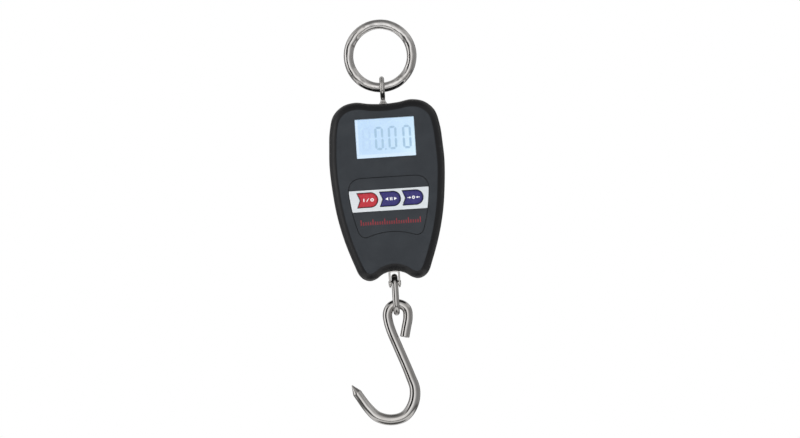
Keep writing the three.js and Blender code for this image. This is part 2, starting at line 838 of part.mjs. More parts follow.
// Clevis: flat base and two cheeks round the link, with a stem up into the load cell
function clevisShape() {
  const baseBottom = housingCentreZ + clevisTop - clevisBase;
  const half = clevisDepth / 2;
  const base = block(-clevisHalfWidth, clevisHalfWidth, -half, half, baseBottom, baseBottom + clevisBase);
  const cheekOutline = new THREE.Shape();
  const lean = Math.asin((half - cheekEndRadius) / (baseBottom - pinZ));
  cheekOutline.moveTo(-half, baseBottom + clevisBase);
  cheekOutline.absarc(0, pinZ, cheekEndRadius, Math.PI + lean, 2 * Math.PI - lean);
  cheekOutline.lineTo(half, baseBottom + clevisBase);
  const sheet = new THREE.ExtrudeGeometry(cheekOutline, {
    depth: 2 * clevisHalfWidth,
    bevelEnabled: false,
    curveSegments,
  });
  sheet.rotateX(Math.PI / 2);
  sheet.rotateZ(Math.PI / 2);
  sheet.translate(-clevisHalfWidth, 0, 0);
  const inside = clevisHalfWidth - cheek;
  const throat = block(-inside, inside, -far, far, -far, baseBottom);
  const stem = rod(shankRadius, baseBottom + 0.5, housingCentreZ + stemEnd, 20, 'z', 0, 0);
  return join(cut(toSolid(sheet), throat, rod(pinRadius + gap, -far, far, 16, 'x', 0, pinZ)), base, stem);
}

add(scale, 'clevis', clevisShape(), steel);
add(scale, 'clevis_pin', rod(pinRadius, -clevisHalfWidth, clevisHalfWidth, 16, 'x', 0, pinZ), steel);

// Swivel: a thrust washer and a nut hold the stem in the load cell's lower arm
const washerBottom = nutSlotBottom + gap;
const washerTop = washerBottom + washerThick;
const washer = cut(
  rod(washerRadius, washerBottom, washerTop, 24, 'z', 0, 0),
  rod(shankRadius + gap, washerBottom - 1, washerTop + 1, 20, 'z', 0, 0),
);
add(housing, 'thrust_washer', washer, screwMetal);
add(housing, 'clevis_nut', nutShape(washerTop + gap), screwMetal);

// Link: a round bar bent into an oval in the Y-Z plane
function linkPath() {
  const arc = (centreZ, from) => {
    const points = [];
    for (let step = 0; step <= 12; step += 1) {
      const angle = from + (step / 12) * Math.PI;
      points.push(new THREE.Vector3(0, linkBend * Math.cos(angle), centreZ + linkBend * Math.sin(angle)));
    }
    return points;
  };
  const points = [...arc(linkUpperBendZ, 0), ...arc(linkLowerBendZ, Math.PI)];
  return new THREE.CatmullRomCurve3(points, true, 'centripetal');
}

add(scale, 'link', barAlong(linkPath(), () => linkBarRadius, 34, 10, true), steel);

// S-hook in the X-Z plane, stated from the centre of its eye: cut end, eye, shank, bowl, point
const hookPoints = [
  [3.7, -16.2],
  [5.3, -9.6],
  [6.9, -2.6],
  [6.5, 3.1],
  [3.4, 6.3],
  [-0.8, 7.2],
  [-5, 5.2],
  [-7.1, 1],
  [-6.9, -4.5],
  [-5.1, -12],
  [-1.2, -23],
  [5.8, -42.8],
  [8.5, -53],
  [6.6, -63],
  [0.2, -71],
  [-9.4, -73],
  [-18.6, -70.2],
  [-24.2, -64.6],
  [-30.5, -55],
  [-35.1, -47.3],
];

function hookBarAt(share, length) {
  const fromPoint = (1 - share) * length;
  const bowlShare = THREE.MathUtils.smoothstep(share, 0.45, 0.65);
  const pointShare = THREE.MathUtils.smoothstep(share, 0.8, 0.95);
  const swollen = THREE.MathUtils.lerp(hookBarRadius, bowlBarRadius, bowlShare);
  const bar = THREE.MathUtils.lerp(swollen, pointBarRadius, pointShare);
  return Math.min(bar, pointTipRadius + (fromPoint / pointLength) * bar);
}

function hookShape() {
  const curve = smoothPath(hookPoints.map(([x, z]) => [hookEyeX + x, 0, hookEyeZ + z]));
  const length = curve.getLength();
  return barAlong(curve, (share) => hookBarAt(share, length), 56, 12, false);
}

add(scale, 's_hook', hookShape(), steel);

export default scale;
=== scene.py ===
import json
import math

import bmesh
import bpy
import numpy as np
from mathutils import Matrix, Vector


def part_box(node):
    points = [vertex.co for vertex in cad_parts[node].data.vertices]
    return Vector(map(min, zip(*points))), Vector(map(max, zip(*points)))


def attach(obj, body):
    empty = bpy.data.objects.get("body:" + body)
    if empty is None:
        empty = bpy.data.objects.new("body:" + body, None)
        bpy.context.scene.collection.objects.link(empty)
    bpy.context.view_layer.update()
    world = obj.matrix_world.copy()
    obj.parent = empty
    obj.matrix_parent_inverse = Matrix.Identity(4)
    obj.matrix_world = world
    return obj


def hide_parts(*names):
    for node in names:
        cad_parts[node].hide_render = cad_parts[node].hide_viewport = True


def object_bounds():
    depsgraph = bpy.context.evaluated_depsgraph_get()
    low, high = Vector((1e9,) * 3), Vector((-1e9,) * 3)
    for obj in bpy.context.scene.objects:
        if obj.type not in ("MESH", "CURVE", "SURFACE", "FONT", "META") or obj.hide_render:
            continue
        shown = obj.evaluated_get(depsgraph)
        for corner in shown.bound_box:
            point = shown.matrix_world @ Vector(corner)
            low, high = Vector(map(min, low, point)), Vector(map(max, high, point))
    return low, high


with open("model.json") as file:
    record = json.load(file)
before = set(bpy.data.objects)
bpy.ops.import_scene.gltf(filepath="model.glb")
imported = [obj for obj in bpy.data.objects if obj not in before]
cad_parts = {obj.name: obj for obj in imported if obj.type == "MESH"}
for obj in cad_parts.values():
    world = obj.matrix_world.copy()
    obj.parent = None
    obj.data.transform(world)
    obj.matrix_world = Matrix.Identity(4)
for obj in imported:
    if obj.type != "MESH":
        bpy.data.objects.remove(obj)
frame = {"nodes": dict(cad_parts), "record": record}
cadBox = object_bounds()
nodes = frame["nodes"]
print("frame loaded:", len(nodes), "nodes")

mm = 0.001
turn = 2 * math.pi


# shapes are worked out in millimetres, and become metres when their mesh is made

def nodeBox(name):
    # lowest and highest corner of a node, in millimetres
    low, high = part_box(name)
    return np.array(low) / mm, np.array(high) / mm


def evenAngles(count):
    # a full turn in equal steps
    return np.linspace(0, turn, count, endpoint=False)


def unit(vectors):
    # each vector divided by its length
    return vectors / np.linalg.norm(vectors, axis=1)[:, None]


def smoothThrough(points, closed, perSpan):
    # centripetal Catmull-Rom: every span is a cubic whose end slopes come from the neighbouring points
    points = np.asarray(points, float)
    if closed:
        before, start = np.roll(points, 1, 0), points
        after, later = np.roll(points, -1, 0), np.roll(points, -2, 0)
    else:
        padded = np.vstack([2 * points[0] - points[1], points, 2 * points[-1] - points[-2]])
        before, start, after, later = padded[:-3], padded[1:-2], padded[2:-1], padded[3:]
    a = np.sqrt(np.linalg.norm(start - before, axis=1))[:, None]
    b = np.sqrt(np.linalg.norm(after - start, axis=1))[:, None]
    c = np.sqrt(np.linalg.norm(later - after, axis=1))[:, None]
    slopeStart = b * ((start - before) / a - (after - before) / (a + b) + (after - start) / b)
    slopeEnd = b * ((after - start) / b - (later - start) / (b + c) + (later - after) / c)
    t = np.linspace(0, 1, perSpan, endpoint=False)[None, :, None]
    p, q = start[:, None], after[:, None]
    m, n = slopeStart[:, None], slopeEnd[:, None]
    curve = p + m * t + (3 * (q - p) - 2 * m - n) * t**2 + (2 * (p - q) + m + n) * t**3
    curve = curve.reshape(-1, points.shape[1])
    return curve if closed else np.vstack([curve, points[-1]])


def evenlySpaced(path, count, closed):
    # the same path with its points at equal steps of length
    full = np.vstack([path, path[:1]]) if closed else path
    along = np.concatenate([[0], np.cumsum(np.linalg.norm(np.diff(full, axis=0), axis=1))])
    at = np.linspace(0, along[-1], count, endpoint=not closed)
    return np.stack([np.interp(at, along, full[:, k]) for k in range(full.shape[1])], 1)


def softened(outline, count, reach):
    # corners rounded: a running mean over 2 reach + 1 of count evenly spaced points
    even = evenlySpaced(outline, count, True)
    return sum(np.roll(even, k, 0) for k in range(-reach, reach + 1)) / (2 * reach + 1)


def outward(outline):
    # unit normals of a closed outline, pointing out
    ahead = unit(np.roll(outline, -1, 0) - np.roll(outline, 1, 0))
    x, z = outline[:, 0], outline[:, 1]
    area = np.sum(x * np.roll(z, -1) - np.roll(x, -1) * z)
    return np.stack([ahead[:, 1], -ahead[:, 0]], 1) * np.sign(area)


def grown(outline, amount):
    # every point moved out by amount along its normal
    return outline + amount * outward(outline)


def quadratic(a, b, c, count):
    # (1-t)^2 a + 2t(1-t) b + t^2 c
    t = np.linspace(0, 1, count, endpoint=False)[:, None]
    return (1 - t)**2 * np.array(a, float) + 2 * t * (1 - t) * np.array(b) + t**2 * np.array(c)


def roundedBox(x0, x1, z0, z1, radius, perCorner=6):
    # rectangle whose corners are quarter circles
    angle = np.linspace(0, math.pi / 2, perCorner)
    middles = [(x1 - radius, z1 - radius), (x0 + radius, z1 - radius),
               (x0 + radius, z0 + radius), (x1 - radius, z0 + radius)]
    parts = [np.stack([x + radius * np.cos(angle + k * math.pi / 2),
                       z + radius * np.sin(angle + k * math.pi / 2)], 1)
             for k, (x, z) in enumerate(middles)]
    return np.vstack(parts)


def circle(x, z, radius, count=40):
    # (x + r cos a, z + r sin a)
    angle = evenAngles(count)
    return np.stack([x + radius * np.cos(angle), z + radius * np.sin(angle)], 1)


def atDepth(outline, y):
    # outline in X and Z placed at one Y
    return np.stack([outline[:, 0], np.full(len(outline), y), outline[:, 1]], 1)


def plateRings(outline, steps):
    # rings of a plate: the outline grown by g at depth y, for each (g, y)
    return np.stack([atDepth(grown(outline, g), y) for g, y in steps])


def plate(outline, steps):
    # the same as a body for meshPiece, capped at both ends
    return plateRings(outline, steps), False


def spindleRings(profile, x, y, count=48):
    # turned about a vertical line through (x, y): radius r at height z, for each (r, z)
    angle = evenAngles(count)
    return np.stack([np.stack([x + r * np.cos(angle), y + r * np.sin(angle), np.full(count, z)], 1)
                     for r, z in profile])


def threadRings(radius, depth, pitch, z0, z1, count=40, perTurn=8, chamfer=0.25):
    # r(angle, z) = radius - depth * ridge, where ridge is a triangle wave of z / pitch - angle / turn;
    # the ridge fades over one pitch at both ends, down to the chamfer
    angle = evenAngles(count)[None, :]
    z = np.linspace(z0, z1, int(abs(z1 - z0) / pitch * perTurn) + 1)[:, None]
    wave = np.abs(2 * ((z / pitch - angle / turn) % 1) - 1)
    fade = np.clip(np.minimum(abs(z - z0), abs(z - z1)) / pitch, 0, 1)
    r = radius - depth * wave * fade - chamfer * (1 - fade)
    return np.stack([r * np.cos(angle), r * np.sin(angle), z + 0 * angle], 2)


def barRings(path, radius, plane, closed, sides=48):
    # round bar along a flat path: centre + r (cos a * across + sin a * plane's normal)
    ahead = unit(np.roll(path, -1, 0) - np.roll(path, 1, 0) if closed else np.gradient(path, axis=0))
    across = np.stack([ahead[:, 1], -ahead[:, 0]], 1)
    angle = evenAngles(sides)
    radius = np.asarray(radius, float)
    if radius.ndim == 1:
        radius = radius[:, None]
    radius = np.broadcast_to(radius, (len(path), sides))
    flat = path[:, None] + (radius * np.cos(angle))[..., None] * across[:, None]
    out = radius * np.sin(angle)
    if plane == "xz":
        return np.stack([flat[..., 0], -out, flat[..., 1]], 2)
    return np.stack([out, flat[..., 0], flat[..., 1]], 2)


def meshPiece(name, bodies, lengthwise=None):
    # bodies: list of (rings, looped); each ring joins the next, the ends are capped unless looped;
    # lengthwise: a vector per point that runs with a bar
    points, faces, start = [], [], 0
    for rings, looped in bodies:
        rows, columns = rings.shape[:2]
        index = start + np.arange(rows * columns).reshape(rows, columns)
        here = index if looped else index[:-1]
        there = np.roll(index, -1, 0) if looped else index[1:]
        quads = np.stack([here, np.roll(here, -1, 1), np.roll(there, -1, 1), there], 2)
        faces += quads.reshape(-1, 4).tolist()
        if not looped:
            faces += [index[0][::-1].tolist(), index[-1].tolist()]
        points.append(rings.reshape(-1, 3))
        start += rows * columns
    mesh = bpy.data.meshes.new(name)
    mesh.from_pydata((np.vstack(points) * mm).tolist(), [], faces)
    if lengthwise is not None:
        attribute = mesh.attributes.new("barCoord", "FLOAT_VECTOR", "POINT")
        attribute.data.foreach_set("vector", lengthwise.astype(np.float32).ravel())
    piece = bpy.data.objects.new(name, mesh)
    bpy.context.scene.collection.objects.link(piece)
    faceOutwards(piece)
    return piece


def faceOutwards(piece):
    # normals worked out afresh, so a shape whose rings run the other way isn't inside out
    work = bmesh.new()
    work.from_mesh(piece.data)
    bmesh.ops.recalc_face_normals(work, faces=work.faces)
    work.to_mesh(piece.data)
    work.free()


def barCoordinates(path, rings):
    # (length along the bar, two coordinates across it), in metres, for marks that run with the bar
    step = np.linalg.norm(np.diff(path, axis=0), axis=1)
    along = np.concatenate([[0], np.cumsum(step)])
    angle = evenAngles(rings.shape[1])
    r = np.linalg.norm(rings - rings.mean(1, keepdims=True), axis=2)
    made = np.stack([along[:, None] + 0 * r, r * np.cos(angle), r * np.sin(angle)], 2)
    return made.reshape(-1, 3) * mm


def settle(piece):
    # the piece's modifiers made part of its mesh
    graph = bpy.context.evaluated_depsgraph_get()
    graph.update()
    finished = bpy.data.meshes.new_from_object(piece.evaluated_get(graph))
    piece.modifiers.clear()
    old = piece.data
    piece.data = finished
    finished.name = piece.name
    bpy.data.meshes.remove(old)


cleaning = {"weld": 0.003, "thin": 0.002, "gapSides": 8}


def cleaned(piece):
    # points that fall together joined, faces without area taken out, and the gaps that leaves filled
    work = bmesh.new()
    work.from_mesh(piece.data)
    bmesh.ops.remove_doubles(work, verts=work.verts, dist=cleaning["weld"] * mm)
    bmesh.ops.dissolve_degenerate(work, edges=work.edges, dist=cleaning["thin"] * mm)
    gaps = [edge for edge in work.edges if edge.is_boundary]
    bmesh.ops.holes_fill(work, edges=gaps, sides=cleaning["gapSides"])
    work.to_mesh(piece.data)
    work.free()


def combine(piece, bodies, operation):
    # bodies that don't touch each other, added to the piece or cut out of it
    tool = meshPiece("tool", bodies)
    change = piece.modifiers.new("combine", "BOOLEAN")
    change.operation = operation
    change.solver = "EXACT"
    change.object = tool
    settle(piece)
    oldMesh = tool.data
    bpy.data.objects.remove(tool)
    bpy.data.meshes.remove(oldMesh)


def remeshed(piece, voxel, rounds):
    # one skin round overlapping shapes, softened like a forging
    skin = piece.modifiers.new("skin", "REMESH")
    skin.mode = "VOXEL"
    skin.voxel_size = voxel * mm
    soften = piece.modifiers.new("soften", "SMOOTH")
    soften.factor = 0.5
    soften.iterations = rounds
    settle(piece)


def merged(piece, *others):
    # others become part of piece's mesh, as closed shapes of their own
    work = bmesh.new()
    for each in (piece, *others):
        work.from_mesh(each.data)
    work.to_mesh(piece.data)
    work.free()
    for each in others:
        bpy.data.objects.remove(each)


def finishPiece(piece, body, material, replaced=(), sharpAngle=32):
    # shading, material and the CAD body that it moves with
    piece.data.shade_smooth()
    piece.data.set_sharp_from_angle(angle=math.radians(sharpAngle))
    even = piece.modifiers.new("even shading", "WEIGHTED_NORMAL")
    even.keep_sharp = True
    piece.data.materials.clear()
    piece.data.materials.append(material)
    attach(piece, body)
    if replaced:
        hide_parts(*replaced)
    return piece


# shader helpers, and the node groups that finishes share

def addNode(tree, kind, inputs=None, **properties):
    # a node with its input values and its own settings
    made = tree.nodes.new(kind)
    for key, value in properties.items():
        setattr(made, key, value)
    for key, value in (inputs or {}).items():
        made.inputs[key].default_value = value
    return made


def wire(tree, source, output, target, entry):
    # one node's output joined to another node's input
    tree.links.new(source.outputs[output], target.inputs[entry])


def maths(tree, operation, first, second=None):
    # a Math node; each operand is a number or (node, output)
    made = addNode(tree, "ShaderNodeMath", operation=operation)
    for place, operand in enumerate((first, second)):
        if isinstance(operand, tuple):
            wire(tree, *operand, made, place)
        elif operand is not None:
            made.inputs[place].default_value = operand
    return made


def spread(tree, source, output, low, high, toLow=0.0, toHigh=1.0):
    # maps low..high to toLow..toHigh, clamped
    made = addNode(tree, "ShaderNodeMapRange",
                   {"From Min": low, "From Max": high, "To Min": toLow, "To Max": toHigh})
    wire(tree, source, output, made, "Value")
    return made


def newGroup(name, entries, results):
    # a shared node group: its tree, the node that brings values in and the node that takes them out
    group = bpy.data.node_groups.new(name, "ShaderNodeTree")
    for label, kind, value in entries:
        socket = group.interface.new_socket(name=label, in_out="INPUT", socket_type=kind)
        if value is not None:
            socket.default_value = value
    for label, kind in results:
        group.interface.new_socket(name=label, in_out="OUTPUT", socket_type=kind)
    return group, addNode(group, "NodeGroupInput"), addNode(group, "NodeGroupOutput")


floatKind, vectorKind = "NodeSocketFloat", "NodeSocketVector"


def mouldGrainGroup():
    # spark-eroded mould texture and slow drifts of tone
    tree, given, result = newGroup(
        "mould grain",
        [("Vector", vectorKind, None), ("Grain", floatKind, 2600.0), ("Drift", floatKind, 60.0)],
        [("Height", floatKind), ("Tone", floatKind), ("Speck", floatKind)])
    fine = addNode(tree, "ShaderNodeTexNoise", {"Detail": 4.0, "Roughness": 0.65})
    pits = addNode(tree, "ShaderNodeTexVoronoi", feature="SMOOTH_F1")
    drift = addNode(tree, "ShaderNodeTexNoise", {"Detail": 3.0, "Roughness": 0.55})
    for each in (fine, pits, drift):
        wire(tree, given, "Vector", each, "Vector")
    wire(tree, given, "Grain", fine, "Scale")
    wire(tree, given, "Grain", pits, "Scale")
    wire(tree, given, "Drift", drift, "Scale")
    both = maths(tree, "ADD", (fine, "Fac"), (maths(tree, "MULTIPLY", (pits, "Distance"), 0.6), 0))
    wire(tree, both, 0, result, "Height")
    wire(tree, spread(tree, drift, "Fac", 0.3, 0.7), 0, result, "Tone")
    wire(tree, spread(tree, fine, "Fac", 0.35, 0.65), 0, result, "Speck")
    return tree


def barStreaksGroup():
    # long drawing marks that run with a bar, and slow waves in its surface
    tree, given, result = newGroup(
        "bar streaks",
        [("Vector", vectorKind, None), ("Along", floatKind, 35.0), ("Across", floatKind, 1400.0)],
        [("Height", floatKind), ("Tone", floatKind), ("Wave", floatKind)])
    scale = addNode(tree, "ShaderNodeCombineXYZ")
    wire(tree, given, "Along", scale, "X")
    wire(tree, given, "Across", scale, "Y")
    wire(tree, given, "Across", scale, "Z")
    stretched = addNode(tree, "ShaderNodeVectorMath", operation="MULTIPLY")
    wire(tree, given, "Vector", stretched, 0)
    wire(tree, scale, 0, stretched, 1)
    marks = addNode(tree, "ShaderNodeTexNoise", {"Scale": 1.0, "Detail": 5.0, "Roughness": 0.6})
    wire(tree, stretched, 0, marks, "Vector")
    wide = addNode(tree, "ShaderNodeTexNoise", {"Scale": 0.22, "Detail": 2.0})
    wire(tree, stretched, 0, wide, "Vector")
    wire(tree, marks, "Fac", result, "Height")
    wave = addNode(tree, "ShaderNodeTexNoise", {"Scale": 110.0, "Detail": 1.0})
    wire(tree, given, "Vector", wave, "Vector")
    wire(tree, wave, "Fac", result, "Wave")
    tone = maths(tree, "MULTIPLY", (spread(tree, marks, "Fac", 0.35, 0.7), 0),
                 (spread(tree, wide, "Fac", 0.3, 0.7, 0.4, 1.0), 0))
    wire(tree, tone, 0, result, "Tone")
    return tree


def handlingGroup():
    # greasy patches, and fine hairline scuffs
    tree, given, result = newGroup(
        "handling",
        [("Vector", vectorKind, None), ("Patch", floatKind, 90.0), ("Hairline", floatKind, 900.0)],
        [("Smudge", floatKind), ("Scuff", floatKind)])
    patch = addNode(tree, "ShaderNodeTexNoise", {"Detail": 5.0, "Roughness": 0.6, "Distortion": 0.8})
    wire(tree, given, "Vector", patch, "Vector")
    wire(tree, given, "Patch", patch, "Scale")
    wire(tree, spread(tree, patch, "Fac", 0.48, 0.68), 0, result, "Smudge")
    line = addNode(tree, "ShaderNodeTexNoise", {"Detail": 2.0, "Distortion": 3.5})
    wire(tree, given, "Vector", line, "Vector")
    wire(tree, given, "Hairline", line, "Scale")
    narrow = maths(tree, "ABSOLUTE", (maths(tree, "SUBTRACT", (line, "Fac"), 0.5), 0))
    wire(tree, spread(tree, narrow, 0, 0.012, 0.0), 0, result, "Scuff")
    return tree


def edgeWearGroup():
    # edges, found where a slightly rounded normal turns away from the true one, broken up by noise
    tree, given, result = newGroup(
        "edge wear",
        [("Vector", vectorKind, None), ("Amount", floatKind, 0.5)],
        [("Mask", floatKind)])
    shape = addNode(tree, "ShaderNodeNewGeometry")
    rounded = addNode(tree, "ShaderNodeBevel", {"Radius": 0.35 * mm}, samples=4)
    same = addNode(tree, "ShaderNodeVectorMath", operation="DOT_PRODUCT")
    wire(tree, shape, "Normal", same, 0)
    wire(tree, rounded, "Normal", same, 1)
    patchy = addNode(tree, "ShaderNodeTexNoise", {"Scale": 700.0, "Detail": 4.0})
    wire(tree, given, "Vector", patchy, "Vector")
    edge = spread(tree, same, "Value", 0.97, 0.80)
    broken = maths(tree, "MULTIPLY", (edge, 0), (spread(tree, patchy, "Fac", 0.4, 0.62), 0))
    wire(tree, maths(tree, "MULTIPLY", (broken, 0), (given, "Amount")), 0, result, "Mask")
    return tree


mouldGrain = mouldGrainGroup()
barStreaks = barStreaksGroup()
handling = handlingGroup()
edgeWear = edgeWearGroup()


def newFinish(name, attribute=None):
    # a material with its shader, its tree and the coordinates that its patterns follow
    material = bpy.data.materials.new(name)
    material.use_nodes = True
    tree = material.node_tree
    shader = tree.nodes["Principled BSDF"]
    if attribute:
        place = (addNode(tree, "ShaderNodeAttribute", attribute_name=attribute), "Vector")
    else:
        place = (addNode(tree, "ShaderNodeTexCoord"), "Object")
    return material, tree, shader, place


def useGroup(tree, group, place, **values):
    # a shared group placed in a material, with this material's values
    made = addNode(tree, "ShaderNodeGroup", node_tree=group)
    wire(tree, *place, made, "Vector")
    for key, value in values.items():
        made.inputs[key].default_value = value
    return made


def colourBetween(tree, source, output, first, second):
    # from the first colour to the second as the mask goes from 0 to 1
    made = addNode(tree, "ShaderNodeMix", data_type="RGBA")
    made.inputs[6].default_value = (*first, 1)
    made.inputs[7].default_value = (*second, 1)
    wire(tree, source, output, made, 0)
    return made


def colourOver(tree, mask, maskOut, base, second, amount=1.0):
    # a second colour laid over another node's colour by a mask
    made = addNode(tree, "ShaderNodeMix", data_type="RGBA")
    wire(tree, maths(tree, "MULTIPLY", (mask, maskOut), amount), 0, made, 0)
    wire(tree, base, 2, made, 6)
    made.inputs[7].default_value = (*second, 1)
    return made


def paint(tree, shader, tone, rough):
    # a colour and a roughness that change over the surface
    wire(tree, tone, 2, shader, "Base Color")
    wire(tree, rough, 0, shader, "Roughness")


def bumpFrom(tree, source, output, shader, strength, distance):
    # a height pattern as bumps; distance in millimetres
    bump = addNode(tree, "ShaderNodeBump", {"Strength": strength, "Distance": distance * mm})
    wire(tree, source, output, bump, "Height")
    wire(tree, bump, "Normal", shader, "Normal")


# where the rim starts and is full, behind the front face and before the back face; the rim is made smoother
# there and darkened with painted shade
rimDepths = {"front": (-16.97, -16.82), "back": (13.98, 13.85)}
plasticMarks = {"scuffed": 0.10, "handledShine": 0.09, "rimShine": 0.10, "grainHigh": 0.03}


def plasticFinish(name, dark, light, look, paintedRimShade=None):
    # moulded plastic: look has rough, roughSpan, grain, bump, gloss, worn, wear; the rim of a shell is
    # smoother than its textured faces, and painted darker as shade where its sides turn away from the light
    material, tree, shader, place = newFinish(name)
    grain = useGroup(tree, mouldGrain, place, Grain=look["grain"])
    marks = useGroup(tree, handling, place)
    worn = useGroup(tree, edgeWear, place, Amount=look["wear"])
    tone = colourBetween(tree, grain, "Tone", dark, light)
    if paintedRimShade:
        depth = addNode(tree, "ShaderNodeSeparateXYZ")
        wire(tree, *place, depth, 0)
        behindFace, beforeBack = (spread(tree, depth, "Y", start * mm, full * mm)
                                  for start, full in rimDepths.values())
        rim = maths(tree, "MULTIPLY", (behindFace, 0), (beforeBack, 0))
        # painted shade: the rim colour darkens the shell's sides, which turn away from the light
        tone = colourOver(tree, rim, 0, tone, paintedRimShade)
    tone = colourOver(tree, marks, "Scuff", tone, look["worn"], plasticMarks["scuffed"])
    tone = colourOver(tree, worn, "Mask", tone, look["worn"])
    rough = spread(tree, grain, "Speck", 0.0, 1.0, look["rough"] - look["roughSpan"],
                   look["rough"] + look["roughSpan"])
    handled = maths(tree, "MULTIPLY", (marks, "Smudge"), plasticMarks["handledShine"])
    rough = maths(tree, "SUBTRACT", (rough, 0), (handled, 0))
    if paintedRimShade:
        smoother = maths(tree, "MULTIPLY", (rim, 0), plasticMarks["rimShine"])
        rough = maths(tree, "SUBTRACT", (rough, 0), (smoother, 0))
    paint(tree, shader, tone, rough)
    shader.inputs["Specular IOR Level"].default_value = look["gloss"]
    bumpFrom(tree, grain, "Height", shader, look["bump"], plasticMarks["grainHigh"])
    return material


steelMarks = {"hairline": 1300.0, "stained": 0.35, "stainDull": 0.08, "bumpHigh": 0.02}


def steelFinish(name, dark, light, look, attribute=None):
    # bare metal: look has rough, roughSpan, along, across, bump, wavy, patch, stain
    material, tree, shader, place = newFinish(name, attribute)
    streaks = useGroup(tree, barStreaks, place, Along=look["along"], Across=look["across"])
    marks = useGroup(tree, handling, place, Patch=look["patch"], Hairline=steelMarks["hairline"])
    tone = colourBetween(tree, streaks, "Tone", dark, light)
    tone = colourOver(tree, marks, "Smudge", tone, look["stain"], steelMarks["stained"])
    rough = spread(tree, streaks, "Tone", 0.0, 1.0, look["rough"] + look["roughSpan"],
                   look["rough"] - look["roughSpan"])
    duller = maths(tree, "MULTIPLY", (marks, "Smudge"), steelMarks["stainDull"])
    rough = maths(tree, "ADD", (rough, 0), (duller, 0))
    paint(tree, shader, tone, rough)
    shader.inputs["Metallic"].default_value = 1.0
    height = maths(tree, "ADD", (maths(tree, "MULTIPLY", (streaks, "Height"), look["bump"]), 0),
                   (maths(tree, "MULTIPLY", (streaks, "Wave"), look["wavy"]), 0))
    bumpFrom(tree, height, 0, shader, 1.0, steelMarks["bumpHigh"])
    return material


housingLook = {"rough": 0.50, "roughSpan": 0.07, "grain": 2600.0, "bump": 0.30, "gloss": 0.42,
               "worn": (0.10, 0.105, 0.115), "wear": 0.35}
inlayLook = {**housingLook, "rough": 0.44, "grain": 3600.0, "bump": 0.2, "wear": 0.2}
darkLook = {**housingLook, "rough": 0.42, "grain": 3200.0, "bump": 0.2, "worn": (0.07, 0.07, 0.07)}
keyLook = {"rough": 0.30, "roughSpan": 0.05, "grain": 4200.0, "bump": 0.12, "gloss": 0.5, "wear": 0.3}
barLook = {"rough": 0.10, "roughSpan": 0.02, "along": 30.0, "across": 620.0, "bump": 0.10,
           "wavy": 12.0, "patch": 100.0, "stain": (0.50, 0.47, 0.44)}
ringLook = {**barLook, "rough": 0.15, "roughSpan": 0.04, "wavy": 80.0}
partLook = {**barLook, "rough": 0.16, "along": 500.0, "across": 500.0, "bump": 0.08, "wavy": 4.0}
zincLook = {**barLook, "rough": 0.34, "along": 900.0, "across": 900.0, "patch": 260.0, "wavy": 2.0,
            "stain": (0.50, 0.47, 0.38)}
milledLook = {**barLook, "rough": 0.33, "along": 120.0, "across": 2600.0, "bump": 0.3, "wavy": 0.0,
              "stain": (0.45, 0.45, 0.44)}

# the last colour is painted shade on the housing's rim, darker where its sides turn away from the light
charcoal = plasticFinish("charcoal housing", (0.0165, 0.020, 0.025), (0.022, 0.0265, 0.0325), housingLook,
                         (0.0055, 0.0058, 0.0068))
inlayCharcoal = plasticFinish("charcoal inlay", (0.0155, 0.019, 0.0245), (0.020, 0.0245, 0.0305), inlayLook)
blackPlastic = plasticFinish("black moulding", (0.012, 0.012, 0.013), (0.018, 0.018, 0.02), darkLook)
navyMask = plasticFinish("navy mask", (0.006, 0.008, 0.022), (0.010, 0.013, 0.032), darkLook)
redKeyPlastic = plasticFinish("red key", (0.36, 0.012, 0.024), (0.42, 0.018, 0.032),
                              {**keyLook, "worn": (0.68, 0.2, 0.2)})
blueKeyPlastic = plasticFinish("blue key", (0.011, 0.008, 0.096), (0.016, 0.0115, 0.13),
                               {**keyLook, "worn": (0.16, 0.13, 0.42)})
whiteInk = plasticFinish("white ink", (0.78, 0.78, 0.80), (0.86, 0.86, 0.88),
                         {**keyLook, "worn": (0.6, 0.6, 0.62)})
redInk = plasticFinish("red ink", (0.22, 0.014, 0.022), (0.29, 0.02, 0.03),
                       {**keyLook, "rough": 0.45, "worn": (0.2, 0.02, 0.03)})
polishedBar = steelFinish("polished bar", (0.54, 0.53, 0.525), (0.64, 0.63, 0.62), barLook, "barCoord")
polishedRing = steelFinish("polished ring", (0.64, 0.63, 0.625), (0.74, 0.73, 0.725), ringLook, "barCoord")
polishedPart = steelFinish("polished part", (0.64, 0.63, 0.62), (0.76, 0.75, 0.735), partLook)
zincPlate = steelFinish("zinc plate", (0.40, 0.41, 0.42), (0.58, 0.585, 0.58), zincLook)
milledAlloy = steelFinish("milled alloy", (0.52, 0.53, 0.54), (0.66, 0.67, 0.68), milledLook)


def silverFilmFinish():
    # satin metallic film, brushed along X
    look = {"dark": (0.585, 0.62, 0.655), "light": (0.68, 0.715, 0.75), "scuff": (0.45, 0.47, 0.5),
            "scuffed": 0.25, "rough": 0.40, "handled": 0.52, "metal": 0.1}
    material, tree, shader, place = newFinish("silver film")
    streaks = useGroup(tree, barStreaks, place, Along=60.0, Across=3500.0)
    marks = useGroup(tree, handling, place, Patch=140.0)
    tone = colourBetween(tree, streaks, "Tone", look["dark"], look["light"])
    tone = colourOver(tree, marks, "Scuff", tone, look["scuff"], look["scuffed"])
    paint(tree, shader, tone, spread(tree, marks, "Smudge", 0, 1, look["rough"], look["handled"]))
    shader.inputs["Metallic"].default_value = look["metal"]
    bumpFrom(tree, streaks, "Height", shader, 0.08, 0.01)
    return material


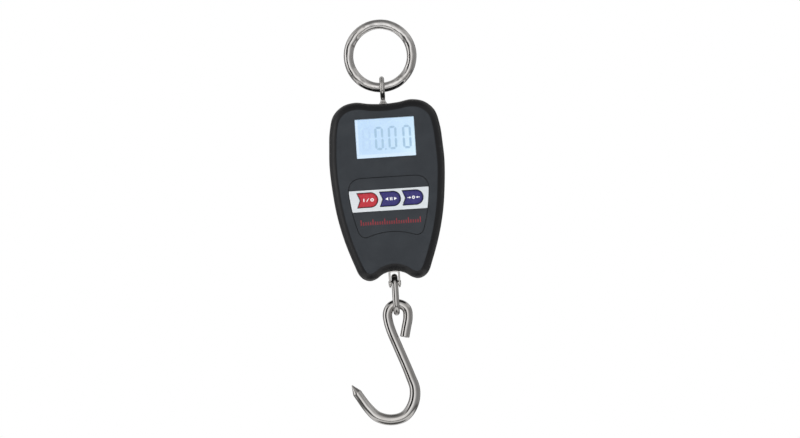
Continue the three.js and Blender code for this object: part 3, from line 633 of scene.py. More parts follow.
def windowFinish():
    # clear acrylic with faint finger marks
    look = {"tint": (0.93, 0.97, 1.0), "scuff": (0.8, 0.84, 0.88), "clean": 0.02, "smudged": 0.10,
            "index": 1.49}
    material, tree, shader, place = newFinish("window acrylic")
    marks = useGroup(tree, handling, place, Patch=120.0, Hairline=500.0)
    tone = colourBetween(tree, marks, "Scuff", look["tint"], look["scuff"])
    paint(tree, shader, tone, spread(tree, marks, "Smudge", 0, 1, look["clean"], look["smudged"]))
    shader.inputs["Transmission Weight"].default_value = 1.0
    shader.inputs["IOR"].default_value = look["index"]
    return material


def litDisplayFinish(left, right, bottom, top):
    # backlit glass: pale blue, whiter towards the lower right, brighter along the left and lower edges
    look = {"blue": (0.50, 0.68, 0.90), "white": (0.66, 0.84, 0.93), "edge": (0.70, 0.83, 0.97),
            "strength": 1.0, "unlit": (0.08, 0.09, 0.10), "unlitPale": (0.12, 0.13, 0.14),
            "cornerPower": 2.6, "leftWide": 2.4, "lowWide": 3.6, "edgeSoft": 1.0, "edgeAmount": 0.75,
            "rough": (0.18, 0.34)}
    material, tree, shader, place = newFinish("lit display")
    split = addNode(tree, "ShaderNodeSeparateXYZ")
    wire(tree, *place, split, 0)
    cloud = addNode(tree, "ShaderNodeTexNoise", {"Scale": 130.0, "Detail": 3.0, "Distortion": 0.6})
    wire(tree, *place, cloud, "Vector")
    rightward = spread(tree, split, "X", left * mm, right * mm)
    downward = spread(tree, split, "Z", top * mm, bottom * mm)
    corner = maths(tree, "MULTIPLY", (maths(tree, "POWER", (rightward, 0), look["cornerPower"]), 0),
                   (spread(tree, downward, 0, 0.0, 0.8, 0.45, 1.0), 0))
    cloudy = maths(tree, "ADD", (corner, 0), (spread(tree, cloud, "Fac", 0.3, 0.7, -0.07, 0.16), 0))
    tone = colourBetween(tree, cloudy, 0, look["blue"], look["white"])
    leftIn, lowIn, soft = left + look["leftWide"], bottom + look["lowWide"], look["edgeSoft"]
    leftEdge = spread(tree, split, "X", leftIn * mm, (leftIn - soft) * mm)
    lowEdge = spread(tree, split, "Z", lowIn * mm, (lowIn - soft) * mm)
    edges = maths(tree, "MAXIMUM", (leftEdge, 0), (lowEdge, 0))
    tone = colourOver(tree, edges, 0, tone, look["edge"], look["edgeAmount"])
    wire(tree, tone, 2, shader, "Emission Color")
    paint(tree, shader, colourBetween(tree, cloud, "Fac", look["unlit"], look["unlitPale"]),
          spread(tree, cloud, "Fac", 0, 1, *look["rough"]))
    shader.inputs["Emission Strength"].default_value = look["strength"]
    return material


def segmentFinish(name, colour):
    # liquid crystal seen against the backlight
    look = {"uneven": 0.92, "unlit": (0.07, 0.08, 0.09), "unlitPale": (0.1, 0.11, 0.12), "rough": 0.3}
    material, tree, shader, place = newFinish(name)
    cloud = addNode(tree, "ShaderNodeTexNoise", {"Scale": 900.0, "Detail": 3.0})
    wire(tree, *place, cloud, "Vector")
    darker = tuple(look["uneven"] * part for part in colour)
    tone = colourBetween(tree, cloud, "Fac", darker, colour)
    wire(tree, tone, 2, shader, "Emission Color")
    wire(tree, colourBetween(tree, cloud, "Fac", look["unlit"], look["unlitPale"]), 2, shader, "Base Color")
    shader.inputs["Emission Strength"].default_value = 1.0
    shader.inputs["Roughness"].default_value = look["rough"]
    return material


def boardFinish():
    # green mask over copper tracks: a fine square mesh of lines
    look = {"mask": (0.012, 0.10, 0.035), "track": (0.03, 0.19, 0.07), "rough": (0.28, 0.42)}
    material, tree, shader, place = newFinish("circuit board")
    tracks = addNode(tree, "ShaderNodeTexBrick", {"Scale": 160.0, "Mortar Size": 0.035},
                     offset=0.35, squash=1.6)
    upright = addNode(tree, "ShaderNodeMapping")
    upright.inputs["Rotation"].default_value = (math.pi / 2, 0, 0)
    wire(tree, *place, upright, "Vector")
    wire(tree, upright, 0, tracks, "Vector")
    grain = useGroup(tree, mouldGrain, place, Grain=1800.0)
    tone = colourBetween(tree, tracks, "Fac", look["mask"], look["track"])
    paint(tree, shader, tone, spread(tree, grain, "Tone", 0, 1, *look["rough"]))
    bumpFrom(tree, tracks, "Fac", shader, 0.3, 0.03)
    return material


def stripedFinish(name, axis, period, first, second, rough, metal=0.0):
    # even stripes across one axis, such as a contact rubber or a foil grid
    material, tree, shader, place = newFinish(name)
    split = addNode(tree, "ShaderNodeSeparateXYZ")
    wire(tree, *place, split, 0)
    wave = maths(tree, "SINE", (maths(tree, "MULTIPLY", (split, axis), turn / (period * mm)), 0))
    grain = useGroup(tree, mouldGrain, place, Grain=2400.0)
    tone = colourBetween(tree, spread(tree, wave, 0, -0.25, 0.25), 0, first, second)
    tone = colourOver(tree, grain, "Speck", tone, first, 0.25)
    paint(tree, shader, tone, spread(tree, grain, "Tone", 0, 1, rough - 0.06, rough + 0.06))
    shader.inputs["Metallic"].default_value = metal
    bumpFrom(tree, wave, 0, shader, 0.15, 0.02)
    return material


def guideFinish():
    # milky acrylic with printed dots
    look = {"clear": (0.95, 0.97, 1.0), "dot": (0.70, 0.77, 0.84), "rough": (0.22, 0.4)}
    material, tree, shader, place = newFinish("light guide")
    dots = addNode(tree, "ShaderNodeTexVoronoi", {"Scale": 1100.0, "Randomness": 0.15})
    wire(tree, *place, dots, "Vector")
    tone = colourBetween(tree, spread(tree, dots, "Distance", 0.2, 0.3), 0, look["clear"], look["dot"])
    paint(tree, shader, tone, spread(tree, dots, "Distance", 0, 1, *look["rough"]))
    bumpFrom(tree, dots, "Distance", shader, 0.2, 0.02)
    return material


def cellFinish(bandFrom, bandTo):
    # shrink sleeve: dark with a copper-coloured end, split at a height
    look = {"sleeve": (0.035, 0.04, 0.048), "copper": (0.50, 0.25, 0.10), "scuff": (0.3, 0.3, 0.3),
            "scuffed": 0.4, "rough": (0.22, 0.34), "metal": (0.25, 0.4)}
    material, tree, shader, place = newFinish("cell sleeve %d" % round(bandFrom))
    split = addNode(tree, "ShaderNodeSeparateXYZ")
    wire(tree, *place, split, 0)
    grain = useGroup(tree, mouldGrain, place, Grain=1500.0)
    marks = useGroup(tree, handling, place)
    band = spread(tree, split, "Z", bandFrom * mm, bandTo * mm)
    tone = colourBetween(tree, band, 0, look["sleeve"], look["copper"])
    tone = colourOver(tree, marks, "Scuff", tone, look["scuff"], look["scuffed"])
    paint(tree, shader, tone, spread(tree, grain, "Tone", 0, 1, *look["rough"]))
    wire(tree, spread(tree, grain, "Speck", 0, 1, *look["metal"]), 0, shader, "Metallic")
    bumpFrom(tree, grain, "Height", shader, 0.08, 0.02)
    return material


silverFilm = silverFilmFinish()
clearAcrylic = windowFinish()
boardMask = boardFinish()
lightGuide = guideFinish()
contactRubber = stripedFinish("contact rubber", "X", 0.5, (0.03, 0.03, 0.032), (0.16, 0.16, 0.17), 0.6)
gaugeFoil = stripedFinish("gauge foil", "Z", 0.45, (0.42, 0.22, 0.06), (0.66, 0.46, 0.22), 0.32, 0.6)
leadSleeve = plasticFinish("lead sleeve", (0.014, 0.014, 0.015), (0.024, 0.024, 0.026),
                           {**darkLook, "rough": 0.38})
print("finishes made:", len(bpy.data.materials))


ringDetails = {"steps": 288, "sides": 56, "sway": 0.035, "wornDeep": 0.10, "wornWide": 16.0}
low, high = nodeBox("suspension_ring")
ringBar = high[1] - low[1]
ringRadius = (high[0] - low[0] - ringBar) / 2
ringCentre = (low + high) / 2


def buildRing():
    # torus whose bar sways a little round the ring and is worn flat where the hook bears at the top
    angle = np.linspace(-math.pi / 2, 1.5 * math.pi, ringDetails["steps"], endpoint=False)
    path = np.stack([ringRadius * np.cos(angle), ringCentre[2] + ringRadius * np.sin(angle)], 1)
    roundBar = evenAngles(ringDetails["sides"])
    sway = ringDetails["sway"] * (np.sin(5 * angle + 1) + 0.6 * np.sin(11 * angle) - 1.6)
    fromTop = np.degrees(np.abs(angle - math.pi / 2))
    worn = ringDetails["wornDeep"] * np.exp(-(fromTop / ringDetails["wornWide"])**2)
    inside = np.clip(-np.cos(roundBar), 0, 1)**3
    radius = ringBar / 2 + sway[:, None] - worn[:, None] * inside[None]
    rings = barRings(path, radius, "xz", True, ringDetails["sides"])
    piece = meshPiece("ring_bar", [(rings, True)], barCoordinates(path, rings))
    return finishPiece(piece, "ring", polishedRing, ["suspension_ring"])


# flare: (share of the shank's radius, height above the housing's top)
eyeDetails = {"radial": 4.1, "across": 3.4, "skin": 0.2, "soften": 6, "thread": 0.32, "pitch": 1.0,
              "flare": [(1.0, -3.0), (1.0, 0.1), (0.93, 0.5), (0.74, 1.3)], "neckHigh": 2.7}
low, high = nodeBox("eye_bolt")
eyeRadius = (high[1] - low[1] - eyeDetails["radial"]) / 2
eyeZ = high[2] - (high[1] - low[1]) / 2
shankRadius = (high[0] - low[0]) / 2
shankLow = low[2]


def buildEyeBolt(housingTop):
    # flattened ring in the Y-Z plane, necked down and flared on to the housing, with a threaded shank
    angle = evenAngles(120)
    path = np.stack([eyeRadius * np.cos(angle), eyeZ + eyeRadius * np.sin(angle)], 1)
    eye = barRings(path, eyeDetails["radial"] / 2, "yz", True, 40)
    eye[..., 0] *= eyeDetails["across"] / eyeDetails["radial"]
    neckTop = eyeZ - eyeRadius
    half = eyeDetails["across"] / 2
    profile = [(shankRadius * share, housingTop + up) for share, up in eyeDetails["flare"]]
    profile += [(half * 0.92, housingTop + eyeDetails["neckHigh"]), (half * 0.95, neckTop)]
    neck = spindleRings(profile, 0, 0)
    piece = meshPiece("eye_forging", [(eye, True), (neck, False)])
    remeshed(piece, eyeDetails["skin"], eyeDetails["soften"])
    shank = threadRings(shankRadius, eyeDetails["thread"], eyeDetails["pitch"], shankLow, housingTop - 2.6)
    merged(piece, meshPiece("shank", [(shank, False)]))
    return finishPiece(piece, "weigher", polishedPart, ["eye_bolt"], sharpAngle=50)


buildRing()
print("ring built")


# the housing outline from the top middle down its right side, and the crease round its flat face;
# both are mirrored for the left side and stated from the housing's middle
rightOutline = [(10, 60.5), (19.5, 61.9), (28.3, 59.9), (35.2, 53.6), (38.3, 43), (39.5, 30), (40, 18),
                (39, 1), (36.9, -16), (32.9, -33.5), (27.1, -50.8), (24.1, -58), (20.6, -61.3),
                (16.5, -62.4), (12.4, -61.2), (7.4, -58)]
rightCrease = [(9.4, 55.3), (18.6, 56.6), (25.6, 55.1), (30.9, 50.3), (33.2, 41.8), (34.3, 29.7), (34.8, 18),
               (33.9, 1.4), (31.8, -15.1), (27.9, -32.1), (22.4, -48.6), (19.9, -54.3), (18.1, -56.5),
               (15.9, -57.2), (13.3, -56.2), (8.4, -53)]
housingShape = {"top": 59.9, "bottom": -56.3, "creaseTop": 54.7, "creaseBottom": -51.0, "perSpan": 8}


def mirroredOutline(right, top, bottom):
    # smooth closed line through the right side, the left side mirrored from it, and both middles
    left = [(-x, z) for x, z in reversed(right)]
    return smoothThrough([(0, top), *right, (0, bottom), *left], True, housingShape["perSpan"])


outline = mirroredOutline(rightOutline, housingShape["top"], housingShape["bottom"])
crease = mirroredOutline(rightCrease, housingShape["creaseTop"], housingShape["creaseBottom"])
shellLow, shellHigh = nodeBox("front_shell")
middleZ = shellHigh[2] - outline[:, 1].max()
frontFace = shellLow[1]
rearFace = nodeBox("rear_shell")[1][1]
outline += (0, middleZ)
crease += (0, middleZ)


def shellRings(profile):
    # profile (f, y): a ring f of the way from the outline to the crease line, at depth y
    return np.stack([atDepth(outline + f * (crease - outline), y) for f, y in profile])


def smoothProfile(points, perSpan=3):
    # (f, y) points joined by a smooth curve
    return smoothThrough(points, False, perSpan).tolist()


# each half's outer skin from the seam to its face, and its inner skin back to the seam, as (f, y)
seam = 0.15
frontProfile = [(0.10, -seam), (0.03, -0.22), (0.0, -0.6), (0.0, -3.0), (0.0, -6.0)] + smoothProfile([
    (0.0, -8.6), (0.03, -10.3), (0.11, -12.0), (0.25, -13.6), (0.44, -14.9), (0.64, -15.85), (0.82, -16.45),
    (0.955, -16.82)]) + [(0.99, -16.91), (1.03, -16.965), (1.09, -16.99), (1.17, -17.0)]
frontInner = [(1.2, -14.3), (1.02, -14.1), (0.82, -13.4), (0.64, -12.2), (0.5, -10.8), (0.43, -9.3),
              (0.42, -5.0), (0.42, -seam)]
rearProfile = [(0.10, seam), (0.03, 0.22), (0.0, 0.6), (0.0, 3.0), (0.0, 5.0)] + smoothProfile([
    (0.0, 7.0), (0.03, 8.6), (0.11, 10.2), (0.26, 11.8), (0.46, 12.95), (0.7, 13.7), (0.95, 13.97)]) + [
    (1.12, 14.0)]
rearInner = [(1.2, 11.8), (1.02, 11.6), (0.82, 10.9), (0.64, 9.7), (0.5, 8.3), (0.43, 6.8), (0.42, 3.0),
             (0.42, seam)]


def localBox(x0, x1, z0, z1, radius, steps):
    # rounded rectangle stated from the housing's middle, as a plate
    return plate(roundedBox(x0, x1, z0 + middleZ, z1 + middleZ, radius), steps)


def localRound(x, z, radius, steps, count=40):
    # round boss or hole stated the same way
    return plate(circle(x, z + middleZ, radius, count), steps)


def mouth(inner, face, lip=0.3, side=-1):
    # steps of a cutter whose mouth is rounded where it meets the face
    return [(0, inner), (0, face - side * lip), (0.09 * lip / 0.3, face - side * 0.4 * lip),
            (lip * 0.8, face), (lip * 0.8, face + side * 3)]


# where the panel's curves meet, and the points that pull them outwards or up
panelPoints = {"top": (18.8, 8.9), "corner": (27.4, 8.6), "shoulder": (27.8, 0), "side": (26.8, -14),
               "waist": (22.9, -27), "foot": (21.6, -32.4), "heel": (17.2, -32), "arch": (0, -25.4)}


def panelOutline():
    # straight top, large top corners, sides drawn in downwards, arched lower edge
    p = panelPoints
    right = np.vstack([quadratic(p["top"], p["corner"], p["shoulder"], 14),
                       quadratic(p["shoulder"], p["side"], p["waist"], 14),
                       quadratic(p["waist"], p["foot"], p["heel"], 12)])
    leftHeel = (-p["heel"][0], p["heel"][1])
    arch = quadratic(p["heel"], p["arch"], leftHeel, 24)
    left = np.vstack([[leftHeel], (right * (-1, 1))[::-1]])
    return softened(np.vstack([right, arch, left]), 300, 3) + (0, middleZ)


inlayOutline = panelOutline()
keyDetails = {"height": 9.5, "width": 13.8, "notch": 2.2, "soft": 1, "count": 180, "round": 0.75,
              "flange": 1.0, "flangeThick": 0.8, "hole": 0.3}
keyNames = ["on_off", "mode", "tare"]
keyBoxes = [nodeBox(name + "_button") for name in keyNames]


def keyOutline(box, margin=0.0):
    # arrow: V notch at the left, half-round right end; the node's box takes in the flange on every side
    half = keyDetails["height"] / 2 + margin
    middle = (box[0][2] + box[1][2]) / 2
    right = box[1][0] - keyDetails["flange"] + margin
    left = right - keyDetails["width"] - 2.1 * margin
    angle = np.linspace(-math.pi / 2, math.pi / 2, 24)
    arc = np.stack([right - half + half * np.cos(angle), half * np.sin(angle)], 1)
    points = np.vstack([[(left, -half)], arc, [(left, half), (left + keyDetails["notch"], 0)]])
    return softened(points + (0, middle), keyDetails["count"], keyDetails["soft"])


keyHoles = [keyOutline(box, keyDetails["hole"]) for box in keyBoxes]
caseScrews = [(-32, 38), (32, 38), (-17, -46), (17, -46)]
boardPosts = [(-25.5, 8), (25.5, 8), (-24, -20), (24, -20)]
loadLine = {"shank": 3.6, "pocket": 6.7, "pocketTop": -55.6}


def loadLineHoles():
    # the bore for the eye bolt and the clevis stem, and the pocket that the clevis turns in
    top = spindleRings([(loadLine["shank"], middleZ + 40), (loadLine["shank"], middleZ + 70)], 0, 0)
    stem = spindleRings([(loadLine["shank"], middleZ - 80), (loadLine["shank"], middleZ - 40)], 0, 0)
    pocket = spindleRings([(loadLine["pocket"], middleZ - 90),
                           (loadLine["pocket"], middleZ + loadLine["pocketTop"])], 0, 0, 64)
    return [(top, False), (stem, False)], [(pocket, False)]


frontDetails = {"screwBoss": 3.0, "boardBoss": 2.4, "boardBossEnd": -8.8, "screwHole": 1.6, "boardHole": 1.2,
                "window": (-20.55, 20.55, 22.75, 49.85), "windowCorner": 0.7, "windowLip": 0.45,
                "inlayGap": 0.3, "inlayDeep": 1.4, "inlayLip": 0.22}


def buildFrontShell():
    # cup from the inner face out over the rim to the front face, then bosses added and openings cut
    piece = meshPiece("front_case", [(shellRings(frontInner + frontProfile), False)])
    innerFace = frontInner[0][1]
    d = frontDetails
    bosses = [localRound(x, z, d["screwBoss"], [(0, innerFace - 1), (0, -0.3)]) for x, z in caseScrews]
    bosses += [localRound(x, z, d["boardBoss"], [(0, innerFace - 1), (0, d["boardBossEnd"])])
               for x, z in boardPosts]
    combine(piece, bosses, "UNION")
    window = localBox(*d["window"], d["windowCorner"], mouth(0, frontFace, d["windowLip"]))
    pocket = plate(grown(inlayOutline, d["inlayGap"]),
                   mouth(frontFace + d["inlayDeep"], frontFace, d["inlayLip"]))
    screws = [localRound(x, z, d["screwHole"], [(0, innerFace + 2), (0, 3)]) for x, z in caseScrews]
    posts = [localRound(x, z, d["boardHole"], [(0, innerFace + 0.6), (0, 3)]) for x, z in boardPosts]
    combine(piece, [window, pocket, *screws, *posts], "DIFFERENCE")
    combine(piece, [plate(shape, [(0, -18.5), (0, 0)]) for shape in keyHoles], "DIFFERENCE")
    for group in loadLineHoles():
        combine(piece, group, "DIFFERENCE")
    cleaned(piece)
    return finishPiece(piece, "weigher", charcoal, ["front_shell"], sharpAngle=26)


bay = {"x": 21.2, "half": 6.0, "top": 31.5, "bottom": -21.0, "floor": -1.6, "wall": 1.2}
recess = {"half": 28.5, "top": 33.0, "bottom": -22.0, "floor": 11.5}
rearDetails = {"pan": (-30, 30, -23.5, 34.5), "screwBoss": 4.4, "bossEnd": 12.5, "screwHole": 1.6,
               "headHole": 2.9, "headSeat": 6.0, "padX": 8, "padZ": 36, "padBoss": 3.0, "padFrom": 6.3,
               "padHole": 1.7, "padDeep": 10.8, "slot": 1.1, "slotPast": 3, "scoop": 7.0, "scoopDeep": 1.2}


def buildRearShell():
    # the same cup towards the back, with a recess for the cover, two battery bays and screw bosses
    piece = meshPiece("rear_case", [(shellRings(rearInner + rearProfile), False)])
    d = rearDetails
    floor, wall, half = recess["floor"], bay["wall"], bay["half"]
    middles = [side * bay["x"] for side in (-1, 1)]
    pads = [side * d["padX"] for side in (-1, 1)]
    combine(piece, [localBox(*d["pan"], 1.0, [(0, floor - wall), (0, 13)])], "UNION")
    combine(piece, [localBox(x - half - wall, x + half + wall, bay["bottom"] - wall, bay["top"] + wall, 1.0,
                             [(0, bay["floor"] - wall), (0, floor - 0.1)]) for x in middles], "UNION")
    bosses = [localRound(x, z, d["screwBoss"], [(0, 0.3), (0, d["bossEnd"])]) for x, z in caseScrews]
    bosses += [localRound(x, d["padZ"], d["padBoss"], [(0, d["padFrom"]), (0, d["bossEnd"])]) for x in pads]
    combine(piece, bosses, "UNION")
    combine(piece, [localBox(-recess["half"], recess["half"], recess["bottom"], recess["top"], 1.0,
                             mouth(floor, rearFace, 0.25, 1))], "DIFFERENCE")
    hollows = [localBox(x - half, x + half, bay["bottom"], bay["top"], 1.2,
                        [(0, bay["floor"]), (0, floor - 0.5), (0.3, floor), (0.3, 16)]) for x in middles]
    heads = [localRound(x, z, d["headHole"], mouth(d["headSeat"], rearFace, 0.3, 1)) for x, z in caseScrews]
    padHoles = [localRound(x, d["padZ"], d["padHole"], [(0, 0), (0, d["padDeep"])]) for x in pads]
    combine(piece, hollows + heads + padHoles, "DIFFERENCE")
    shanks = [localRound(x, z, d["screwHole"], [(0, -1), (0, 10)]) for x, z in caseScrews]
    slots = [localBox(x - d["slot"], x + d["slot"], bay["bottom"] - d["slotPast"], bay["top"] + d["slotPast"],
                      0.4, [(0, -0.1), (0, 2.1)]) for x in middles]
    scoop = localRound(0, recess["bottom"], d["scoop"],
                       mouth(rearFace - d["scoopDeep"], rearFace, 0.3, 1), 64)
    combine(piece, shanks + slots + [scoop], "DIFFERENCE")
    for group in loadLineHoles():
        combine(piece, group, "DIFFERENCE")
    cleaned(piece)
    return finishPiece(piece, "weigher", charcoal, ["rear_shell"], sharpAngle=26)


coverDetails = {"edge": 0.3, "grooves": 5, "groovePitch": 2.2, "grooveWide": 1.0, "grooveDeep": 0.45,
                "grooveHalf": 9.0, "grooveZ": -17.0, "arrow": [(-2.6, 0), (2.6, 0), (0, -3.0)],
                "arrowZ": -4.6, "arrowDeep": 0.35}


def buildCover():
    # cross-section in Y and Z, round about the pivot at its upper end, carried along X
    d = coverDetails
    low, high = nodeBox("battery_cover")
    r = (high[1] - low[1]) / 2
    y = (high[1] + low[1]) / 2
    pivot = high[2] - r
    angle = np.linspace(0, math.pi, 20)
    upper = np.stack([y + r * np.cos(angle), pivot + r * np.sin(angle)], 1)
    e = d["edge"]
    corner = np.linspace(0, math.pi / 2, 5)
    backLow = np.stack([high[1] - e + e * np.sin(corner), low[2] + e - e * np.cos(corner)], 1)
    frontLow = np.stack([low[1] + e - e * np.cos(corner), low[2] + e - e * np.sin(corner)], 1)
    section = np.vstack([upper, frontLow, backLow])
    ends = [(low[0], -e), (low[0] + 0.3 * e, -0.3 * e), (low[0] + e, 0),
            (high[0] - e, 0), (high[0] - 0.3 * e, -0.3 * e), (high[0], -e)]
    rings = []
    for x, inset in ends:
        shape = grown(section, inset)
        rings.append(np.stack([np.full(len(shape), x), shape[:, 0], shape[:, 1]], 1))
    piece = meshPiece("battery_door", [(np.stack(rings), False)])
    half, wide = d["grooveHalf"], d["grooveWide"] / 2
    middles = [d["grooveZ"] + k * d["groovePitch"] for k in range(d["grooves"])]
    groove = mouth(high[1] - d["grooveDeep"], high[1], 0.2, 1)
    combine(piece, [localBox(-half, half, z - wide, z + wide, wide * 0.98, groove) for z in middles],
            "DIFFERENCE")
    arrow = np.array(d["arrow"]) + (0, middleZ + d["arrowZ"])
    combine(piece, [plate(softened(arrow, 60, 2), mouth(high[1] - d["arrowDeep"], high[1], 0.15, 1))],
            "DIFFERENCE")
    cleaned(piece)
    return finishPiece(piece, "cover", charcoal, ["battery_cover"], sharpAngle=26)


buildEyeBolt(middleZ + housingShape["top"])
buildFrontShell()
buildRearShell()
buildCover()
print("housing built")


displayDetails = {"digitLeft": [-7.4, 1.9, 11.9], "digitWide": 6.1, "digitLow": 27.9, "digitHigh": 44.2,
                  "stroke": 1.6, "gap": 0.22, "ink": 0.05, "inkSunk": 0.02, "spareLeft": -16.2,
                  "pointX": -0.1, "point": 1.1,
                  "litColour": (0.33, 0.52, 0.70), "idleColour": (0.485, 0.665, 0.885)}
windowDetails = {"lip": 1.6, "lipThick": 1.0, "corner": 0.6, "edge": 0.1, "maskWide": 0.25,
                 "maskBehind": 0.1, "maskCorner": 0.3}
# the glass as (growth, distance) from its back, then from its front with the groove between its sheets;
# litInset is how far the lit part stays from the left, right, lower and upper edges
glassDetails = {"inset": 0.2, "corner": 0.3, "back": [(0, 0), (0.2, 0.15)],
                "front": [(0.2, 0.95), (-0.1, 0.9), (-0.1, 0.8), (0.2, 0.75), (0.2, 0.15), (0, 0)],
                "litInset": (1.4, 1.4, 4.6, 1.4)}


def buildWindow():
    # pane with a wider lip behind the housing wall, edges rounded
    d = windowDetails
    low, high = nodeBox("display_window")
    lip = d["lip"]
    outer = roundedBox(low[0] + lip, high[0] - lip, low[2] + lip, high[2] - lip, d["corner"])
    lipFront, e = high[1] - d["lipThick"], d["edge"]
    steps = [(lip - e, high[1]), (lip, high[1] - e), (lip, lipFront + e), (lip - e, lipFront),
             (0, lipFront), (0, low[1] + 0.25), (-0.06, low[1] + 0.08), (-0.2, low[1])]
    piece = meshPiece("window_pane", [plate(outer, steps)])
    finishPiece(piece, "weigher", clearAcrylic, ["display_window"], sharpAngle=40)
    inset = lip + d["maskWide"]
    inner = roundedBox(low[0] + inset, high[0] - inset, low[2] + inset, high[2] - inset,
                       d["maskCorner"])
    outer = grown(outer, lip - 0.2)
    back = high[1] + d["maskBehind"]
    front = back - displayDetails["ink"]
    band = np.stack([atDepth(shape, y) for shape, y in
                     ((outer, back), (outer, front), (inner, front), (inner, back))])
    finishPiece(meshPiece("window_mask", [(band, True)]), "weigher", navyMask)


def segmentShapes(left, which):
    # the seven bars of a figure as pointed strips: 0 top, 1 and 2 upper sides, 3 middle, 4 and 5 lower
    # sides, 6 bottom
    d = displayDetails
    right, low, high = left + d["digitWide"], d["digitLow"], d["digitHigh"]
    half, gap = d["stroke"] / 2, d["gap"]
    x0, x1, z0, z1 = left + half, right - half, low + half, high - half
    zm = (z0 + z1) / 2

    def strip(a, b):
        # pointed at both ends, and short of a and b by the gap
        a, b = np.array(a, float), np.array(b, float)
        along = (b - a) / np.linalg.norm(b - a)
        side = np.array([-along[1], along[0]]) * half
        a, b = a + along * gap, b - along * gap
        return np.stack([a, a + along * half - side, b - along * half - side, b,
                         b - along * half + side, a + along * half + side]) + (0, middleZ)

    bars = [strip((x0, z1), (x1, z1)), strip((x0, zm), (x0, z1)), strip((x1, zm), (x1, z1)),
            strip((x0, zm), (x1, zm)), strip((x0, z0), (x0, zm)), strip((x1, z0), (x1, zm)),
            strip((x0, z0), (x1, z0))]
    return [bars[k] for k in which]


def inkSteps(front, ink=displayDetails["ink"]):
    # from just inside the surface at front to the face of the ink
    return [(0, front + displayDetails["inkSunk"]), (0, front - ink)]


def inkPiece(name, shapes, front, body, material):
    # flat printed shapes, raised by the thickness of the ink
    piece = meshPiece(name, [plate(shape, inkSteps(front)) for shape in shapes])
    return finishPiece(piece, body, material)


def buildDisplay():
    # glass in two sheets with a groove between them, and the figures printed on it
    d = glassDetails
    low, high = nodeBox("lcd_panel")
    left, right, lower, upper = d["litInset"]
    material = litDisplayFinish(low[0] + left, high[0] - right, low[2] + lower, high[2] - upper)
    inset = d["inset"]
    face = roundedBox(low[0] + inset, high[0] - inset, low[2] + inset, high[2] - inset, d["corner"])
    steps = [(g, high[1] - y) for g, y in d["back"]] + [(g, low[1] + y) for g, y in d["front"]]
    piece = meshPiece("display_glass", [plate(face, steps)])
    finishPiece(piece, "weigher", material, ["lcd_panel"])
    nought = (0, 1, 2, 4, 5, 6)
    figures = [shape for left in displayDetails["digitLeft"] for shape in segmentShapes(left, nought)]
    x, z, point = displayDetails["pointX"], displayDetails["digitLow"] + middleZ, displayDetails["point"]
    figures.append(roundedBox(x - point / 2, x + point / 2, z, z + point, 0.2))
    inkPiece("display_figures", figures, low[1], "weigher",
             segmentFinish("lit segments", displayDetails["litColour"]))
    idle = segmentShapes(displayDetails["spareLeft"], range(7))
    inkPiece("display_idle_figures", idle, low[1], "weigher",
             segmentFinish("idle segments", displayDetails["idleColour"]))


buildWindow()
buildDisplay()
print("display built")


stripDetails = {"hole": 0.6, "edge": 0.1}


def buildInlay():
    # plate of the inlay's outline with a pocket for the strip and openings for the keys
    low, high = nodeBox("control_panel")
    strip = nodeBox("silver_strip")
    piece = meshPiece("control_inlay", [plate(inlayOutline, [
        (0, high[1]), (0, low[1] + 0.25), (-0.08, low[1] + 0.08), (-0.25, low[1])])])
    band = roundedBox(-40, 40, strip[0][2] - 0.2, strip[1][2] + 0.2, 0.1)
    combine(piece, [plate(band, mouth(low[1] + 0.7, low[1], 0.1))], "DIFFERENCE")
    combine(piece, [plate(shape, [(0, -19), (0, -14)]) for shape in keyHoles], "DIFFERENCE")
    return finishPiece(piece, "weigher", inlayCharcoal, ["control_panel"], sharpAngle=26)


def buildStrip():
    # the part of the inlay's outline between the strip's upper and lower edges
    low, high = nodeBox("silver_strip")
    inside = inlayOutline[(inlayOutline[:, 1] > low[2]) & (inlayOutline[:, 1] < high[2])]
    right = inside[inside[:, 0] > 0]
    right = right[np.argsort(-right[:, 1])]
    xTop = np.interp(high[2], right[::-1, 1], right[::-1, 0])
    xLow = np.interp(low[2], right[::-1, 1], right[::-1, 0])
    right = np.vstack([[(xTop, high[2])], right, [(xLow, low[2])]])
    left = (right * (-1, 1))[::-1]
    shape = softened(np.vstack([right, left]), 400, 1)
    e = stripDetails["edge"]
    piece = meshPiece("key_strip", [plate(shape, [
        (-e, high[1]), (-e, low[1] + e), (-1.3 * e, low[1] + 0.3 * e), (-2 * e, low[1])])])
    combine(piece, [plate(keyOutline(box, stripDetails["hole"]), [(0, -14), (0, -19)]) for box in keyBoxes],
            "DIFFERENCE")
    return finishPiece(piece, "weigher", silverFilm, ["silver_strip"], sharpAngle=30)


def buildKey(name, box, material):
    # flange behind the wall, straight sides and a rounded front edge
    front, back = box[0][1], box[1][1]
    r = keyDetails["round"]
    bend = np.linspace(0, math.pi / 2, 6)
    rounded = [(-r * (1 - math.cos(a)), front + r * (1 - math.sin(a))) for a in bend]
    wide, thick = keyDetails["flange"], keyDetails["flangeThick"]
    steps = [(wide - 0.1, back), (wide, back - 0.1), (wide, back - thick + 0.1), (wide - 0.1, back - thick),
             (0, back - thick)] + rounded
    rings = np.stack([atDepth(keyOutline(box, g), y) for g, y in steps])
    piece = meshPiece(name + "_key", [(rings, False)])
    return finishPiece(piece, name + "_key", material, [name + "_button"], sharpAngle=40)


def strokeShape(a, b, wide):
    # straight stroke with square ends
    a, b = np.array(a, float), np.array(b, float)
    side = np.array([-(b - a)[1], (b - a)[0]]) / np.linalg.norm(b - a) * wide / 2
    return np.stack([a + side, b + side, b - side, a - side])


def bandRings(shape, wide, front):
    # a line of ink round a closed outline
    back, face = [y for grow, y in inkSteps(front)]
    inner, outer = grown(shape, -wide / 2), grown(shape, wide / 2)
    return np.stack([atDepth(outer, back), atDepth(outer, face), atDepth(inner, face),
                     atDepth(inner, back)]), True


